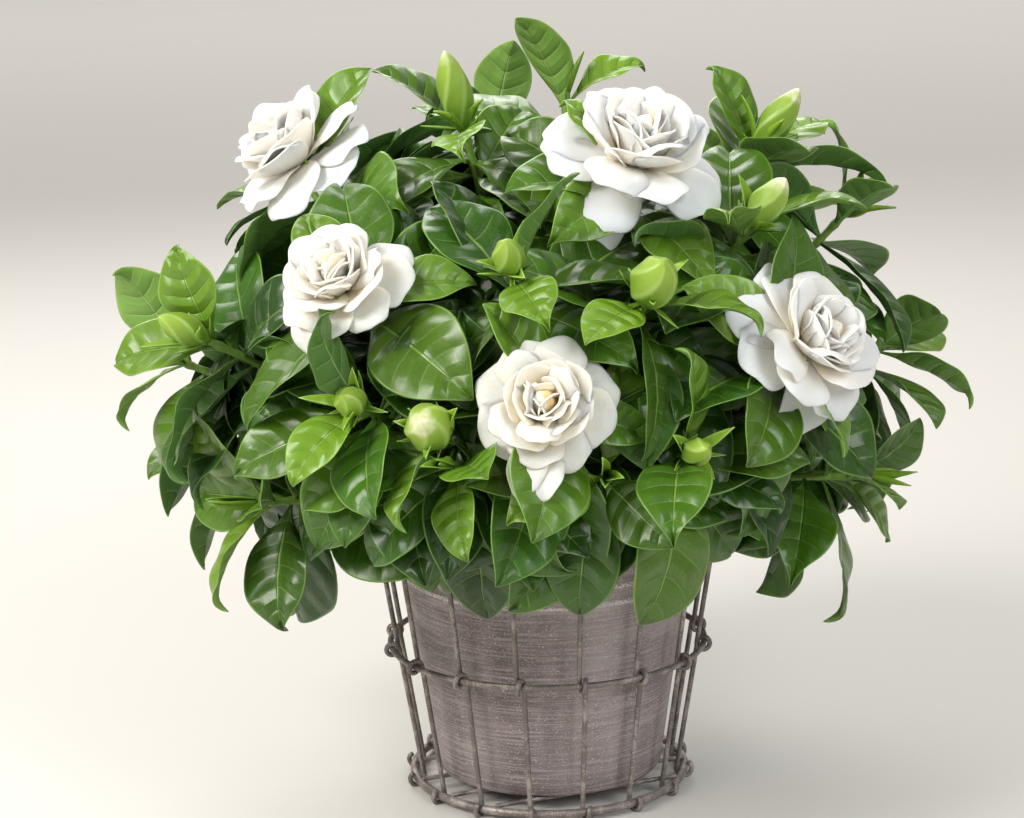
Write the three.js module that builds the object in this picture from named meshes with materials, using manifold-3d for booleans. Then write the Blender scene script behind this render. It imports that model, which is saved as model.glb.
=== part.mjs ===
// A potted gardenia: a round, leafy shrub with double white blooms, in a tapered ceramic pot that
// stands in a basket of wrapped wire. Millimetres, +Z up. The origin is the middle of the basket's
// foot, on the surface it stands on, and the front of the plant faces -Y.
import * as THREE from "three";
import { mergeVertices } from "three/addons/utils/BufferGeometryUtils.js";
import Module from "manifold-3d";

const wasm = await Module();
wasm.setup();

// Driving dimensions
const seat = 0.3; // left open between two pieces that touch
const uprightCount = 16;
const wireRadius = 1.5; // of the uprights
const footRing = { radius: 80, wire: 2.5 };
const middleRing = { radius: 92, height: 84, wire: 1.8 };
const topRing = { radius: 103.5, height: 158, wire: 1.8 };
const barRadius = 1.3;
const barTurn = 22.5; // degrees between the bars under the pot and the plant's left and right
const potFootRadius = 66;
const potRimRadius = 87.5;
const potHeight = 148;
const potWall = 4;
const potFloor = 5;
const soilDepthBelowRim = 12;
// The shell that the shoot tips lie on: it leans a little to the left and back of the pot
const crown = { left: 2.5, back: 2.5, height: 250, radius: 208, rise: 152, fall: 132 };
const stemLength = 96;
const leafLength = 84;
const leafWidth = 46;

const wrapSteps = 6; // straight lengths in one full turn of an upright round a ring
const wrapReach = (ring) => ring.wire + seat + wireRadius;
const wrapRadius = (ring) => wrapReach(ring) / Math.cos(Math.PI / wrapSteps);
const wornFoot = 0.8; // worn off the underside of each upright's wrap, so that it stands flat
footRing.height = wrapReach(footRing) + wireRadius - wornFoot;
const barHeight = footRing.height + footRing.wire + 0.5;
const potFoot = barHeight + barRadius + seat;
const rimHeight = potFoot + potHeight;
const soilTop = rimHeight - soilDepthBelowRim;

const radians = THREE.MathUtils.degToRad;
const up = new THREE.Vector3(0, 0, 1);
const vector = (x, y, z) => new THREE.Vector3(x, y, z);

// Angles go round from the front (-Y) towards the right (+X)
const around = (degrees) => vector(Math.sin(radians(degrees)), -Math.cos(radians(degrees)), 0);

// The same number from 0 to 1 each time for the same three counters
function draw(a, b, c = 0) {
  const v = Math.sin(a * 127.1 + b * 311.7 + c * 74.7) * 43758.5453;
  return v - Math.floor(v);
}
const spread = (middle, reach, a, b, c) => middle + reach * (2 * draw(a, b, c) - 1);

const colours = {
  leaf: { color: 0x2f6b22, roughness: 0.35, metalness: 0 },
  petal: { color: 0xf7f3e8, roughness: 0.55, metalness: 0 },
  bark: { color: 0x7a6a4c, roughness: 0.85, metalness: 0 },
  soil: { color: 0x2e221a, roughness: 0.95, metalness: 0 },
  pot: { color: 0x7d7370, roughness: 0.75, metalness: 0 },
  wire: { color: 0x6d6864, roughness: 0.55, metalness: 0.6 },
};
for (const slot in colours) colours[slot] = new THREE.MeshStandardMaterial(colours[slot]);

// A closed geometry as a solid that can be joined and cut
function solidOf(geometry) {
  const bare = geometry.clone();
  bare.deleteAttribute("normal");
  bare.deleteAttribute("uv");
  const merged = mergeVertices(bare, 1e-4);
  const corners = [];
  for (let i = 0; i < merged.index.count; i += 3) {
    const [a, b, c] = merged.index.array.slice(i, i + 3);
    if (a !== b && b !== c && c !== a) corners.push(a, b, c);
  }
  return new wasm.Manifold(
    new wasm.Mesh({
      numProp: 3,
      vertProperties: merged.attributes.position.array,
      triVerts: new Uint32Array(corners),
    }),
  );
}

function geometryOf(solid) {
  const { vertProperties, triVerts } = solid.getMesh();
  return new THREE.BufferGeometry()
    .setAttribute("position", new THREE.BufferAttribute(vertProperties, 3))
    .setIndex(new THREE.BufferAttribute(triVerts, 1));
}

// Joined solids keep only their outer skin, so a hollow sealed between petals is filled
function join(solids) {
  const skins = solids.reduce((whole, next) => whole.add(next)).decompose();
  return skins.reduce((outer, skin) => (skin.volume() > outer.volume() ? skin : outer));
}

const plant = new THREE.Group();

function addPiece(name, solid, material) {
  const mesh = new THREE.Mesh(geometryOf(solid), material);
  mesh.name = name;
  plant.add(mesh);
  return mesh;
}

// A path that is cut into sections exactly at its own points
class Route extends THREE.Curve {
  constructor(points) {
    super();
    this.points = points;
  }
  getPoint(t, target = new THREE.Vector3()) {
    const place = t * (this.points.length - 1);
    const i = Math.min(Math.floor(place), this.points.length - 2);
    return target.lerpVectors(this.points[i], this.points[i + 1], place - i);
  }
  getUtoTmapping(u) {
    return u;
  }
}

// A round wire along a list of points
function wireAlong(points, radius, sides) {
  const section = new THREE.Shape();
  for (let i = 0; i < sides; i++) {
    const angle = (2 * Math.PI * i) / sides;
    section[i ? "lineTo" : "moveTo"](radius * Math.cos(angle), radius * Math.sin(angle));
  }
  return solidOf(
    new THREE.ExtrudeGeometry(section, {
      steps: points.length - 1,
      extrudePath: new Route(points),
      bevelEnabled: false,
    }),
  );
}

// A tapered round stick between two points
function stick(from, to, fromRadius, toRadius, sides) {
  const along = to.clone().sub(from);
  const geometry = new THREE.CylinderGeometry(toRadius, fromRadius, along.length(), sides);
  geometry.translate(0, along.length() / 2, 0);
  geometry.applyQuaternion(
    new THREE.Quaternion().setFromUnitVectors(vector(0, 1, 0), along.normalize()),
  );
  geometry.translate(from.x, from.y, from.z);
  return solidOf(geometry);
}

// A profile of [radius, height] pairs turned about the Z axis
function turned(profile, segments) {
  const points = profile.map(([radius, height]) => new THREE.Vector2(radius, height));
  return solidOf(new THREE.LatheGeometry(points, segments).rotateX(Math.PI / 2));
}

// Basket
const ringSides = 5;
const ringSegments = 2 * uprightCount;

function ringSolid({ radius, height, wire }) {
  const turn = Math.PI / uprightCount;
  const torus = new THREE.TorusGeometry(radius, wire, ringSides, ringSegments);
  return solidOf(torus.rotateZ(turn).translate(0, 0, height));
}

// Five bars lie across the foot ring and carry the pot; each ends midway between two uprights
function footSolid() {
  const along = vector(Math.cos(radians(barTurn)), Math.sin(radians(barTurn)), 0);
  const across = vector(-along.y, along.x, 0);
  const bars = [-45, -22.5, 0, 22.5, 45].map((angle) => {
    const middle = across.clone().multiplyScalar(footRing.radius * Math.sin(radians(angle)));
    const half = along.clone().multiplyScalar(footRing.radius * Math.cos(radians(angle)));
    middle.z = barHeight;
    return stick(middle.clone().sub(half), middle.clone().add(half), barRadius, barRadius, 5);
  });
  return join([ringSolid(footRing), ...bars]);
}

// The turns of an upright round one ring, from one angle to another about the ring's own wire:
// 0 is outside, 90 on top, 180 inside and 270 underneath. The wire moves sideways as it turns.
const wrapPitch = 2 * wireRadius + 0.8;
function wrap(ring, from, to, sideways) {
  const turns = [];
  const steps = Math.round((wrapSteps * Math.abs(to - from)) / 360);
  for (let i = 0; i <= steps; i++) {
    const angle = from + ((to - from) * i) / steps;
    const reach = wrapRadius(ring);
    turns.push({
      out: ring.radius + reach * Math.cos(radians(angle)),
      aside: sideways + (wrapPitch * Math.abs(angle - from)) / 360,
      height: ring.height + reach * Math.sin(radians(angle)),
    });
  }
  return turns;
}

function uprightSolid(degrees) {
  const outward = around(degrees);
  const aside = vector(-outward.y, outward.x, 0);
  const turns = [
    ...wrap(topRing, -60, 180, -wrapPitch * 0.67),
    ...wrap(middleRing, 180, 540, 0),
    ...wrap(footRing, 180, 420, wrapPitch),
  ];
  const points = turns.map((p) =>
    outward
      .clone()
      .multiplyScalar(p.out)
      .addScaledVector(aside, p.aside)
      .setZ(p.height),
  );
  const underFloor = new THREE.BoxGeometry(60, 60, 20).translate(outward.x * 80, outward.y * 80, -10);
  return wireAlong(points, wireRadius, 4).subtract(solidOf(underFloor));
}

// Pot and soil
const potRadiusAt = (height) =>
  potFootRadius + ((potRimRadius - potFootRadius) * (height - potFoot)) / potHeight;

function potSolid() {
  const floor = potFoot + potFloor;
  const bands = [rimHeight - 31, rimHeight - 21]; // two shallow raised bands below the rim
  const outside = bands.flatMap((height) => [
    [potRadiusAt(height - 2), height - 2],
    [potRadiusAt(height) + 0.9, height],
    [potRadiusAt(height + 2), height + 2],
  ]);
  return turned(
    [
      [0, potFoot],
      [potFootRadius, potFoot],
      ...outside,
      [potRimRadius + 1, rimHeight - 3],
      [potRimRadius + 1, rimHeight],
      [potRimRadius - potWall, rimHeight],
      [potRadiusAt(floor) - potWall, floor],
      [0, floor],
    ],
    26,
  );
}

const trunkRadius = 9;
const trunkFoot = soilTop - 45;

function soilSolid() {
  const floor = potFoot + potFloor + seat;
  const body = turned(
    [
      [0, floor],
      [potRadiusAt(floor) - potWall - 1, floor],
      [potRadiusAt(soilTop) - potWall - 1, soilTop],
      [potRimRadius * 0.5, soilTop + 3],
      [0, soilTop + 4],
    ],
    24,
  );
  const holeFoot = vector(0, 0, trunkFoot - seat);
  const hole = stick(holeFoot, vector(0, 0, soilTop + 20), trunkRadius + 1, trunkRadius + 1, 8);
  return body.subtract(hole);
}

// Branches: a trunk forks into limbs, and twigs along them each carry a shoot in line with them
const fork = vector(0, 0, soilTop + 12);
const limbEnds = [0, 1, 2, 3, 4].map((i) => around(72 * i + 20).multiplyScalar(36).setZ(soilTop + 42));
limbEnds.push(vector(0, 0, soilTop + 72));
const twigPlaces = [1, 0.86, 0.72, 0.58, 0.93, 0.79, 0.65];
const twigFootRadius = 3.2;
const stemFootRadius = 2.5;
const stemTipRadius = 2.1;

function branchSolids(shoots) {
  const trunkTop = vector(0, 0, fork.z + 5);
  const trunk = stick(vector(0, 0, trunkFoot), trunkTop, trunkRadius, 0.8 * trunkRadius, 7);
  const limbs = limbEnds.map((end) => stick(fork, end, 5.5, 4, 5));
  const twigs = shoots.map((shoot) => {
    const end = shoot.foot.clone().addScaledVector(shoot.axis, -seat);
    return stick(shoot.twigRoot, end, twigFootRadius, stemFootRadius, 3);
  });
  return [trunk, ...limbs, ...twigs];
}

// Shoots. The named ones stand where this plant bears its blooms and buds, and others are added
// one by one where the crown has most room. turn goes round from the front, lift up from the level.
const shown = [
  { name: "bloom_front", turn: 1, lift: 6.5, bloom: { size: 0.97, roll: 20 } },
  { name: "bloom_left", turn: -31, lift: 27, bloom: { size: 1, roll: 50 } },
  { name: "bloom_upper_left", turn: -72, lift: 51, bloom: { size: 1.2, roll: 10 } },
  { name: "bloom_top", turn: 24, lift: 54, bloom: { size: 1.3, roll: 35 } },
  { name: "bloom_right", turn: 41, lift: 13, bloom: { size: 1.14, roll: 0 } },
  { name: "bud_tall", turn: -31, lift: 69, bud: { length: 44, radius: 9 } },
  { name: "bud_plump", turn: 17, lift: 26, bud: { length: 34, radius: 12 } },
  { name: "bud_opening", turn: -14, lift: 2, bud: { length: 28, radius: 12 } },
  { name: "bud_curled", turn: -4, lift: 32, bud: { length: 26, radius: 8 } },
  { name: "bud_pale", turn: 82, lift: 53, bud: { length: 40, radius: 9 } },
  { name: "bud_striped", turn: 43, lift: 38, bud: { length: 34, radius: 9 } },
  { name: "bud_side", turn: 88, lift: 33, bud: { length: 30, radius: 6 } },
  { name: "bud_low", turn: 21, lift: -4.5, bud: { length: 24, radius: 7 } },
  { name: "bud_round", turn: -26, lift: 6, bud: { length: 20, radius: 8 } },
  { name: "skirt_left", turn: -12, lift: -5 },
  { name: "skirt_right", turn: 9, lift: -8 },
  { name: "left_edge", turn: -84, lift: 3 },
];
const shootCount = 33;
const crownPlaces = 400; // tried for each added shoot, spread evenly over the crown
const budEvery = 4; // among the shoots that the rule adds, one in four ends in a bud
const goldenAngle = 180 * (3 - Math.sqrt(5));

function crownPoint(turn, lift) {
  const rise = lift > 0 ? crown.rise : crown.fall;
  const point = around(turn).multiplyScalar(crown.radius * Math.cos(radians(lift)));
  return point.add(vector(-crown.left, crown.back, crown.height + rise * Math.sin(radians(lift))));
}

function placeShoots() {
  const shoots = shown.map((shoot) => ({ ...shoot, tip: crownPoint(shoot.turn, shoot.lift) }));
  const places = Array.from({ length: crownPlaces }, (_, i) => {
    const lift = THREE.MathUtils.radToDeg(Math.asin(0.995 - (1.48 * i) / crownPlaces));
    return crownPoint(i * goldenAngle, lift);
  });
  const room = (place) => Math.min(...shoots.map((shoot) => shoot.tip.distanceTo(place)));
  while (shoots.length < shootCount) {
    const tip = places.reduce((best, place) => (room(place) > room(best) ? place : best));
    const added = shoots.length - shown.length + 1;
    const bud = added % budEvery ? undefined : { length: 30, radius: 8 };
    shoots.push({ name: `leafy_${added}`, tip, bud });
  }
  const carried = limbEnds.map(() => 0);
  shoots.forEach((shoot, number) => {
    const gap = (i) => limbEnds[i].distanceTo(shoot.tip);
    const limb = limbEnds.reduce((best, end, i) => (gap(i) < gap(best) ? i : best), 0);
    const share = twigPlaces[carried[limb] % twigPlaces.length];
    carried[limb]++;
    shoot.twigRoot = fork.clone().lerp(limbEnds[limb], share);
    shoot.number = number;
    shoot.axis = shoot.tip.clone().sub(shoot.twigRoot).normalize();
    shoot.foot = shoot.tip.clone().addScaledVector(shoot.axis, -stemLength);
    const level = vector(0, 0, 1).cross(shoot.axis).normalize();
    shoot.sides = [level, shoot.axis.clone().cross(level)];
  });
  return shoots;
}

// A thin blade on an arched rib. Its root is a point inside what it grows from, its stalk has three
// corners, each station of the blade four, and its tip is a point. Both faces are split alike.
function bladeSolid(blade) {
  const { root, along, face, length, width, thickness, stalk, stations, bend, fold, twist } = blade;
  const points = [];

  // across and above are distances from the rib, towards the blade's right side and its face
  function addPoint(s, across = 0, above = 0, folded = 0) {
    const tangent = along.clone().multiplyScalar(Math.cos(bend * s));
    tangent.addScaledVector(face, -Math.sin(bend * s));
    const side = along.clone().cross(face).applyAxisAngle(tangent, twist * s);
    const normal = side.clone().cross(tangent);
    const point = root
      .clone()
      .addScaledVector(along, (length * Math.sin(bend * s)) / bend)
      .addScaledVector(face, (-length * (1 - Math.cos(bend * s))) / bend)
      .addScaledVector(side, across * Math.cos(folded))
      .addScaledVector(normal, above + Math.abs(across) * Math.sin(folded));
    return points.push(point) - 1;
  }

  const rootPoint = addPoint(0);
  const stalkLeft = addPoint(stalk.end, -stalk.width / 2, stalk.width / 4);
  const stalkRight = addPoint(stalk.end, stalk.width / 2, stalk.width / 4);
  const stalkUnder = addPoint(stalk.end, 0, -stalk.width / 3);
  const index = [];
  index.push(rootPoint, stalkRight, stalkLeft);
  index.push(rootPoint, stalkUnder, stalkRight);
  index.push(rootPoint, stalkLeft, stalkUnder);
  let near;
  for (const [s, share] of stations) {
    const left = addPoint(s, (-width / 2) * share, 0, fold);
    const upper = addPoint(s, 0, thickness / 2);
    const right = addPoint(s, (width / 2) * share, 0, fold);
    const lower = addPoint(s, 0, -thickness / 2);
    if (near) {
      index.push(near.left, near.upper, upper, near.left, upper, left);
      index.push(near.right, upper, near.upper, near.right, right, upper);
      index.push(near.left, lower, near.lower, near.left, left, lower);
      index.push(near.right, near.lower, lower, near.right, lower, right);
    } else {
      index.push(stalkLeft, stalkRight, upper, stalkLeft, upper, left, stalkRight, right, upper);
      index.push(stalkLeft, left, lower, stalkLeft, lower, stalkUnder);
      index.push(stalkRight, lower, right, stalkRight, stalkUnder, lower);
    }
    near = { left, upper, right, lower };
  }
  const tip = addPoint(1);
  index.push(near.left, near.upper, tip, near.upper, near.right, tip);
  index.push(near.right, near.lower, tip, near.lower, near.left, tip);
  const geometry = new THREE.BufferGeometry().setFromPoints(points).setIndex(index);
  return solidOf(geometry);
}

// Leaves
const leafBlade = {
  thickness: 1.4,
  stalk: { end: 0.05, width: 2.2 },
  stations: [
    [0.38, 0.9],
    [0.72, 0.9],
  ],
};
const whorls = [
  { count: 3, below: 7, lift: 36, size: 0.75, bend: 0.6, sag: 0.05 },
  { count: 3, below: 20, lift: 64, size: 0.97, bend: 0.7, sag: 0.15 },
  { count: 3, below: 40, lift: 86, size: 1.04, bend: 0.6, sag: 0.2 },
];
const youngLeavesByFlower = 2; // of the first whorl, where a bloom or a bud takes the tip
const leafClearance = 0.45;
const rootOverlap = 5; // cubic millimetres that two leaves of one shoot may share at their roots

// The ways a leaf may lean out of its neighbours' way, nearest first: degrees up and round
const leans = [{ lift: 0, turn: 0, size: 1 }];
for (const size of [1, 0.84])
  for (const reach of [9, 18, 28, 40])
    for (let way = 0; way < 8; way++)
      leans.push({
        lift: reach * Math.cos((way * Math.PI) / 4),
        turn: reach * Math.sin((way * Math.PI) / 4),
        size,
      });

// The direction that leans out of a shoot's axis by lift degrees, towards turn degrees round it
function outOf(shoot, turn, lift) {
  const radial = shoot.sides[0]
    .clone()
    .multiplyScalar(Math.cos(radians(turn)))
    .addScaledVector(shoot.sides[1], Math.sin(radians(turn)));
  const along = shoot.axis
    .clone()
    .multiplyScalar(Math.cos(radians(lift)))
    .addScaledVector(radial, Math.sin(radians(lift)));
  return { radial, along };
}

// The direction square to along that is nearest to wanted
const squareTo = (along, wanted) =>
  wanted.clone().addScaledVector(along, -wanted.dot(along)).normalize();

function leafSolid(shoot, whorlNumber, leafNumber, lean) {
  const whorl = whorls[whorlNumber];
  const counter = 4 * whorlNumber + leafNumber;
  const vary = (middle, reach, what) => spread(middle, reach, shoot.number + 1, counter + 1, what);
  const share = (360 * leafNumber) / whorl.count;
  const turn = vary(share + 60 * whorlNumber + 37 * shoot.number, 14, 1) + lean.turn;
  const lift = vary(whorl.lift, 10, 2) + lean.lift;
  const size = vary(whorl.size, 0.12, 3) * lean.size;
  const { radial, along } = outOf(shoot, turn, lift);
  along.addScaledVector(up, -vary(whorl.sag, 0.12, 4)).normalize();
  const skew = vector(vary(0, 0.8, 9), vary(0, 0.8, 10), vary(0.4, 0.5, 11));
  const face = squareTo(along, shoot.axis.clone().add(skew));
  return bladeSolid({
    ...leafBlade,
    root: shoot.tip
      .clone()
      .addScaledVector(shoot.axis, -whorl.below - 2 * leafNumber)
      .addScaledVector(radial, 0.4),
    along,
    face,
    length: leafLength * size,
    width: leafWidth * size * vary(1, 0.1, 5),
    bend: vary(whorl.bend, 0.3, 6),
    fold: vary(0.22, 0.12, 7),
    twist: vary(0, 0.35, 8),
  });
}

// Blooms: petals in a golden-angle spiral round a core, from the spread outer ones to the heart
const petalCount = 11;
const outerPetal = { lift: 92, height: 3, length: 38, width: 33, bend: 0.4 };
const heartPetal = { lift: 16, height: 8, length: 23, width: 20, bend: -0.8 };
const petalBlade = {
  thickness: 1.4,
  stalk: { end: 0.14, width: 5 },
  stations: [
    [0.52, 0.92],
    [0.87, 0.8],
  ],
};
const core = { foot: 3.2, radius: 5.5, widest: 6, top: 2.2, height: 20 };

function petalSolid(shoot, number) {
  const { size, roll } = shoot.bloom;
  const inward = number / (petalCount - 1);
  const vary = (what, reach) => {
    const middle = THREE.MathUtils.lerp(outerPetal[what], heartPetal[what], inward);
    return spread(middle, reach, shoot.number + 41, number + 1);
  };
  const { radial, along } = outOf(shoot, roll + number * goldenAngle, vary("lift", 3));
  return bladeSolid({
    ...petalBlade,
    root: shoot.tip
      .clone()
      .addScaledVector(shoot.axis, vary("height", 0) * size)
      .addScaledVector(radial, 3 * size),
    along,
    face: squareTo(along, shoot.axis.clone().addScaledVector(radial, -0.4)),
    length: vary("length", 3) * size,
    width: vary("width", 2) * size,
    bend: vary("bend", 0.1),
    fold: 0.3,
    twist: 0,
  });
}

// A turned solid stood on a shoot's tip, its own Z along the shoot
function onTip(shoot, profile, segments) {
  const points = profile.map(([radius, height]) => new THREE.Vector2(radius, height));
  const geometry = new THREE.LatheGeometry(points, segments);
  geometry.applyQuaternion(new THREE.Quaternion().setFromUnitVectors(vector(0, 1, 0), shoot.axis));
  geometry.translate(...shoot.tip);
  return solidOf(geometry);
}

function bloomSolids(shoot) {
  const { size } = shoot.bloom;
  const profile = [
    [0, seat],
    [core.foot, seat],
    [core.radius * size, core.widest],
    [core.top * size, core.height * size],
    [0, core.height * size],
  ];
  const petals = Array.from({ length: petalCount }, (_, number) => petalSolid(shoot, number));
  return [onTip(shoot, profile, 6), ...petals];
}

function budSolid(shoot) {
  const { length, radius } = shoot.bud;
  return onTip(
    shoot,
    [
      [0, -3],
      [2.2, -3],
      [0.62 * radius, 0.1 * length],
      [radius, 0.4 * length],
      [0.75 * radius, 0.75 * length],
      [0, length],
    ],
    6,
  );
}

// Every solid that stands, which each new leaf has to clear
const standing = [];

function stand(owner, solid) {
  standing.push({ owner, solid, box: solid.boundingBox() });
  return solid;
}

function isClear(owner, solid) {
  const box = solid.boundingBox();
  const farOff = (other) =>
    [0, 1, 2].some(
      (k) => box.min[k] > other.max[k] + leafClearance || other.min[k] > box.max[k] + leafClearance,
    );
  return standing.every((other) => {
    if (farOff(other.box)) return true;
    if (other.owner === owner) return other.isStem || other.solid.intersect(solid).volume() < rootOverlap;
    return other.solid.minGap(solid, 2 * leafClearance) >= leafClearance;
  });
}

addPiece("basket_foot", stand("basket", footSolid()), colours.wire);
addPiece("basket_middle_ring", stand("basket", ringSolid(middleRing)), colours.wire);
addPiece("basket_top_ring", stand("basket", ringSolid(topRing)), colours.wire);
for (let i = 0; i < uprightCount; i++) {
  const degrees = (360 * (i + 0.5)) / uprightCount;
  addPiece(`basket_upright_${i + 1}`, stand("basket", uprightSolid(degrees)), colours.wire);
}
addPiece("pot", stand("pot", potSolid()), colours.pot);
addPiece("soil", stand("soil", soilSolid()), colours.soil);

const shoots = placeShoots();
addPiece("branches", join(branchSolids(shoots).map((solid) => stand("branches", solid))), colours.bark);
for (const shoot of shoots) {
  const stem = stick(shoot.foot, shoot.tip, stemFootRadius, stemTipRadius, 3);
  shoot.solids = [stem];
  standing.push({ owner: shoot.name, solid: stem, box: stem.boundingBox(), isStem: true });
  if (shoot.bud) shoot.solids.push(stand(shoot.name, budSolid(shoot)));
  if (shoot.bloom) {
    const parts = bloomSolids(shoot).map((solid) => stand(`${shoot.name}_petals`, solid));
    addPiece(shoot.name, join(parts), colours.petal);
  }
}

// A leaf takes the first lean that clears everything, and is left off where none does
function growLeaf(shoot, whorlNumber, leafNumber) {
  for (const lean of leans) {
    const leaf = leafSolid(shoot, whorlNumber, leafNumber, lean);
    if (!isClear(shoot.name, leaf)) continue;
    shoot.solids.push(stand(shoot.name, leaf));
    return;
  }
}

whorls.forEach((whorl, whorlNumber) => {
  for (let leafNumber = 0; leafNumber < whorl.count; leafNumber++)
    for (const shoot of shoots) {
      const besideFlower = whorlNumber === 0 && (shoot.bloom || shoot.bud);
      if (besideFlower && leafNumber >= youngLeavesByFlower) continue;
      growLeaf(shoot, whorlNumber, leafNumber);
    }
});
for (const shoot of shoots) addPiece(`shoot_${shoot.name}`, join(shoot.solids), colours.leaf);

export default plant;
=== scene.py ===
# %% [markdown]
# # A potted gardenia, finished for close viewing
#
# The CAD model is the plan: it says where every wire, stem, leaf and petal sits, with few faces.
# This lesson keeps each of those places and makes the piece again as it looks up close. We start
# by loading the plan, which stays fixed, and measure it, so that the finished plant can be held
# against it at the end.

# %% Load the plan
import math

import bmesh
import bpy
import numpy as np
from mathutils import Matrix, Vector
from mathutils.kdtree import KDTree


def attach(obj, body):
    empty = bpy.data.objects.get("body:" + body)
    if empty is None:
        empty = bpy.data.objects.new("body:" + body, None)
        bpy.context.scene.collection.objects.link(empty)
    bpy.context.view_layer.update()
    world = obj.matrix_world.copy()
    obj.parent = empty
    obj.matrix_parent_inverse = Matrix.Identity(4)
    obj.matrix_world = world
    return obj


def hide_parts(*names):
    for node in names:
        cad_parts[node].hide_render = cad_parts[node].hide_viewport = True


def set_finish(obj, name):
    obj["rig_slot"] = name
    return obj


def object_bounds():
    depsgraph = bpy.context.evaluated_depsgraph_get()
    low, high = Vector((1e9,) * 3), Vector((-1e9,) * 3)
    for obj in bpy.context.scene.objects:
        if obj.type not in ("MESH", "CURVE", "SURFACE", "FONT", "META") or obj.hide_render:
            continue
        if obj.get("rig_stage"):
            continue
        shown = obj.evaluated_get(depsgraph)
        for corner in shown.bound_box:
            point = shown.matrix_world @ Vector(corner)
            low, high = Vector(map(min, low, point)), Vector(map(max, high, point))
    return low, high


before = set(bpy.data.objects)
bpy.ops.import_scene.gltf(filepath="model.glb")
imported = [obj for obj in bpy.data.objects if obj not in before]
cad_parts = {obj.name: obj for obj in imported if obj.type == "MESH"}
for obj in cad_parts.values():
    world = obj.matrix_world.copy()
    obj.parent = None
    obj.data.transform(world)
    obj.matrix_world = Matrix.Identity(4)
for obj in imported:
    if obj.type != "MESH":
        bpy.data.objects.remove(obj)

plan_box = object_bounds()
print(len(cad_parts), "pieces in the plan, box", [round(v, 3) for v in plan_box[1] - plan_box[0]])

# %% [markdown]
# ## Camera
#
# The photograph looks slightly down at the plant through a long lens. Three turns describe such a
# camera: yaw to the side, pitch down and roll about its own line of sight. We build the three axes
# of the camera from them, because a matrix of axes leaves no doubt about the order of the turns.
# Blender's default view softens strong colours, as film does. The photograph's greens are clear and
# its shadows deep, so the picture is developed with the plain Standard view.

# %% Place the camera
MM = 0.001


def camera_axes(yaw, pitch, roll):
    sight = Vector((math.sin(yaw) * math.cos(pitch), math.cos(yaw) * math.cos(pitch), -math.sin(pitch)))
    right = sight.cross(Vector((0, 0, 1))).normalized()
    above = right.cross(sight)
    rolled_right = right * math.cos(roll) + above * math.sin(roll)
    rolled_above = above * math.cos(roll) - right * math.sin(roll)
    return Matrix((rolled_right, rolled_above, -sight)).transposed().to_4x4()


camera_place = (0, -1.4, 0.536)
yaw, pitch, roll = -0.75, 12.66, -1.05
lens_length = 87.57
bpy.ops.object.camera_add()
camera = bpy.context.object
camera.name = "photo_camera"
turned = camera_axes(math.radians(yaw), math.radians(pitch), math.radians(roll))
camera.matrix_world = Matrix.Translation(camera_place) @ turned
camera.data.sensor_width = 36
camera.data.lens = lens_length
bpy.context.scene.camera = camera
bpy.context.scene.view_settings.view_transform = "Standard"
print("camera with a", camera.data.lens, "mm lens,", round(camera.location.length, 2), "m away")

# %% [markdown]
# ## Materials are made of small shared pieces
#
# Every finish here is a node tree that paints itself from the object's own coordinates or from the
# piece's own map. Writing each node out takes many lines, so a few helpers keep the recipes short.
# The first cell adds a node and fills its sockets, mixes two colours by a mask, does a sum, makes a
# soft step, draws noise and stretches the object's coordinates. The second starts a material, links
# the finished colour to its shader, sends a height to its bump, and reads the three numbers that a
# piece may carry in its attribute `tone`.

# %% Helpers for single nodes
def add_node(tree, kind, settings=None, **sockets):
    """Adds a node. A socket's value is a number, a colour, or another node's output to link.

    A socket is given by its name, or as i0, i1 and so on where several have the same name.
    """
    node = tree.nodes.new(kind)
    for name, value in (settings or {}).items():
        setattr(node, name, value)
    for name, value in sockets.items():
        key = int(name[1:]) if name[0] == "i" and name[1:].isdigit() else name.replace("_", " ")
        if isinstance(value, bpy.types.NodeSocket):
            tree.links.new(value, node.inputs[key])
        else:
            node.inputs[key].default_value = value
    return node


def mix_colour(tree, mask, first, second):
    """The first colour where the mask is 0 and the second where it is 1."""
    settings = {"data_type": "RGBA"}
    return add_node(tree, "ShaderNodeMix", settings, i0=mask, i6=first, i7=second).outputs[2]


def sums(tree, operation, first, second=0.0, third=0.0, clamp=False):
    settings = {"operation": operation, "use_clamp": clamp}
    return add_node(tree, "ShaderNodeMath", settings, i0=first, i1=second, i2=third).outputs[0]


def ramp(tree, value, low, high):
    """0 below low, 1 above high and a soft step between them. It falls where low is the larger one."""
    settings = {"interpolation_type": "SMOOTHSTEP"}
    return add_node(tree, "ShaderNodeMapRange", settings, Value=value, From_Min=low, From_Max=high).outputs[0]


def noise(tree, vector, scale, detail=3.0, roughness=0.5):
    sockets = {"Vector": vector, "Scale": scale, "Detail": detail, "Roughness": roughness}
    return add_node(tree, "ShaderNodeTexNoise", None, **sockets).outputs["Fac"]


def stretched(tree, scale):
    """The object's own coordinates, stretched, so that a pattern has a direction."""
    place = add_node(tree, "ShaderNodeTexCoord").outputs["Object"]
    return add_node(tree, "ShaderNodeMapping", None, Vector=place, Scale=scale).outputs[0]


print("node helpers ready")

# %% Helpers for whole materials
def new_material(name, **constants):
    """A material with one Principled BSDF, whose even values are set on its own sockets."""
    material = bpy.data.materials.new(name)
    material.use_nodes = True
    shader = material.node_tree.nodes["Principled BSDF"]
    for socket, value in constants.items():
        shader.inputs[socket.replace("_", " ")].default_value = value
    return material, material.node_tree, shader


def paint(tree, shader, colour, roughness=None):
    """Links the finished colour, and the roughness where it varies."""
    tree.links.new(colour, shader.inputs["Base Color"])
    if roughness is not None:
        tree.links.new(roughness, shader.inputs["Roughness"])


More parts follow.
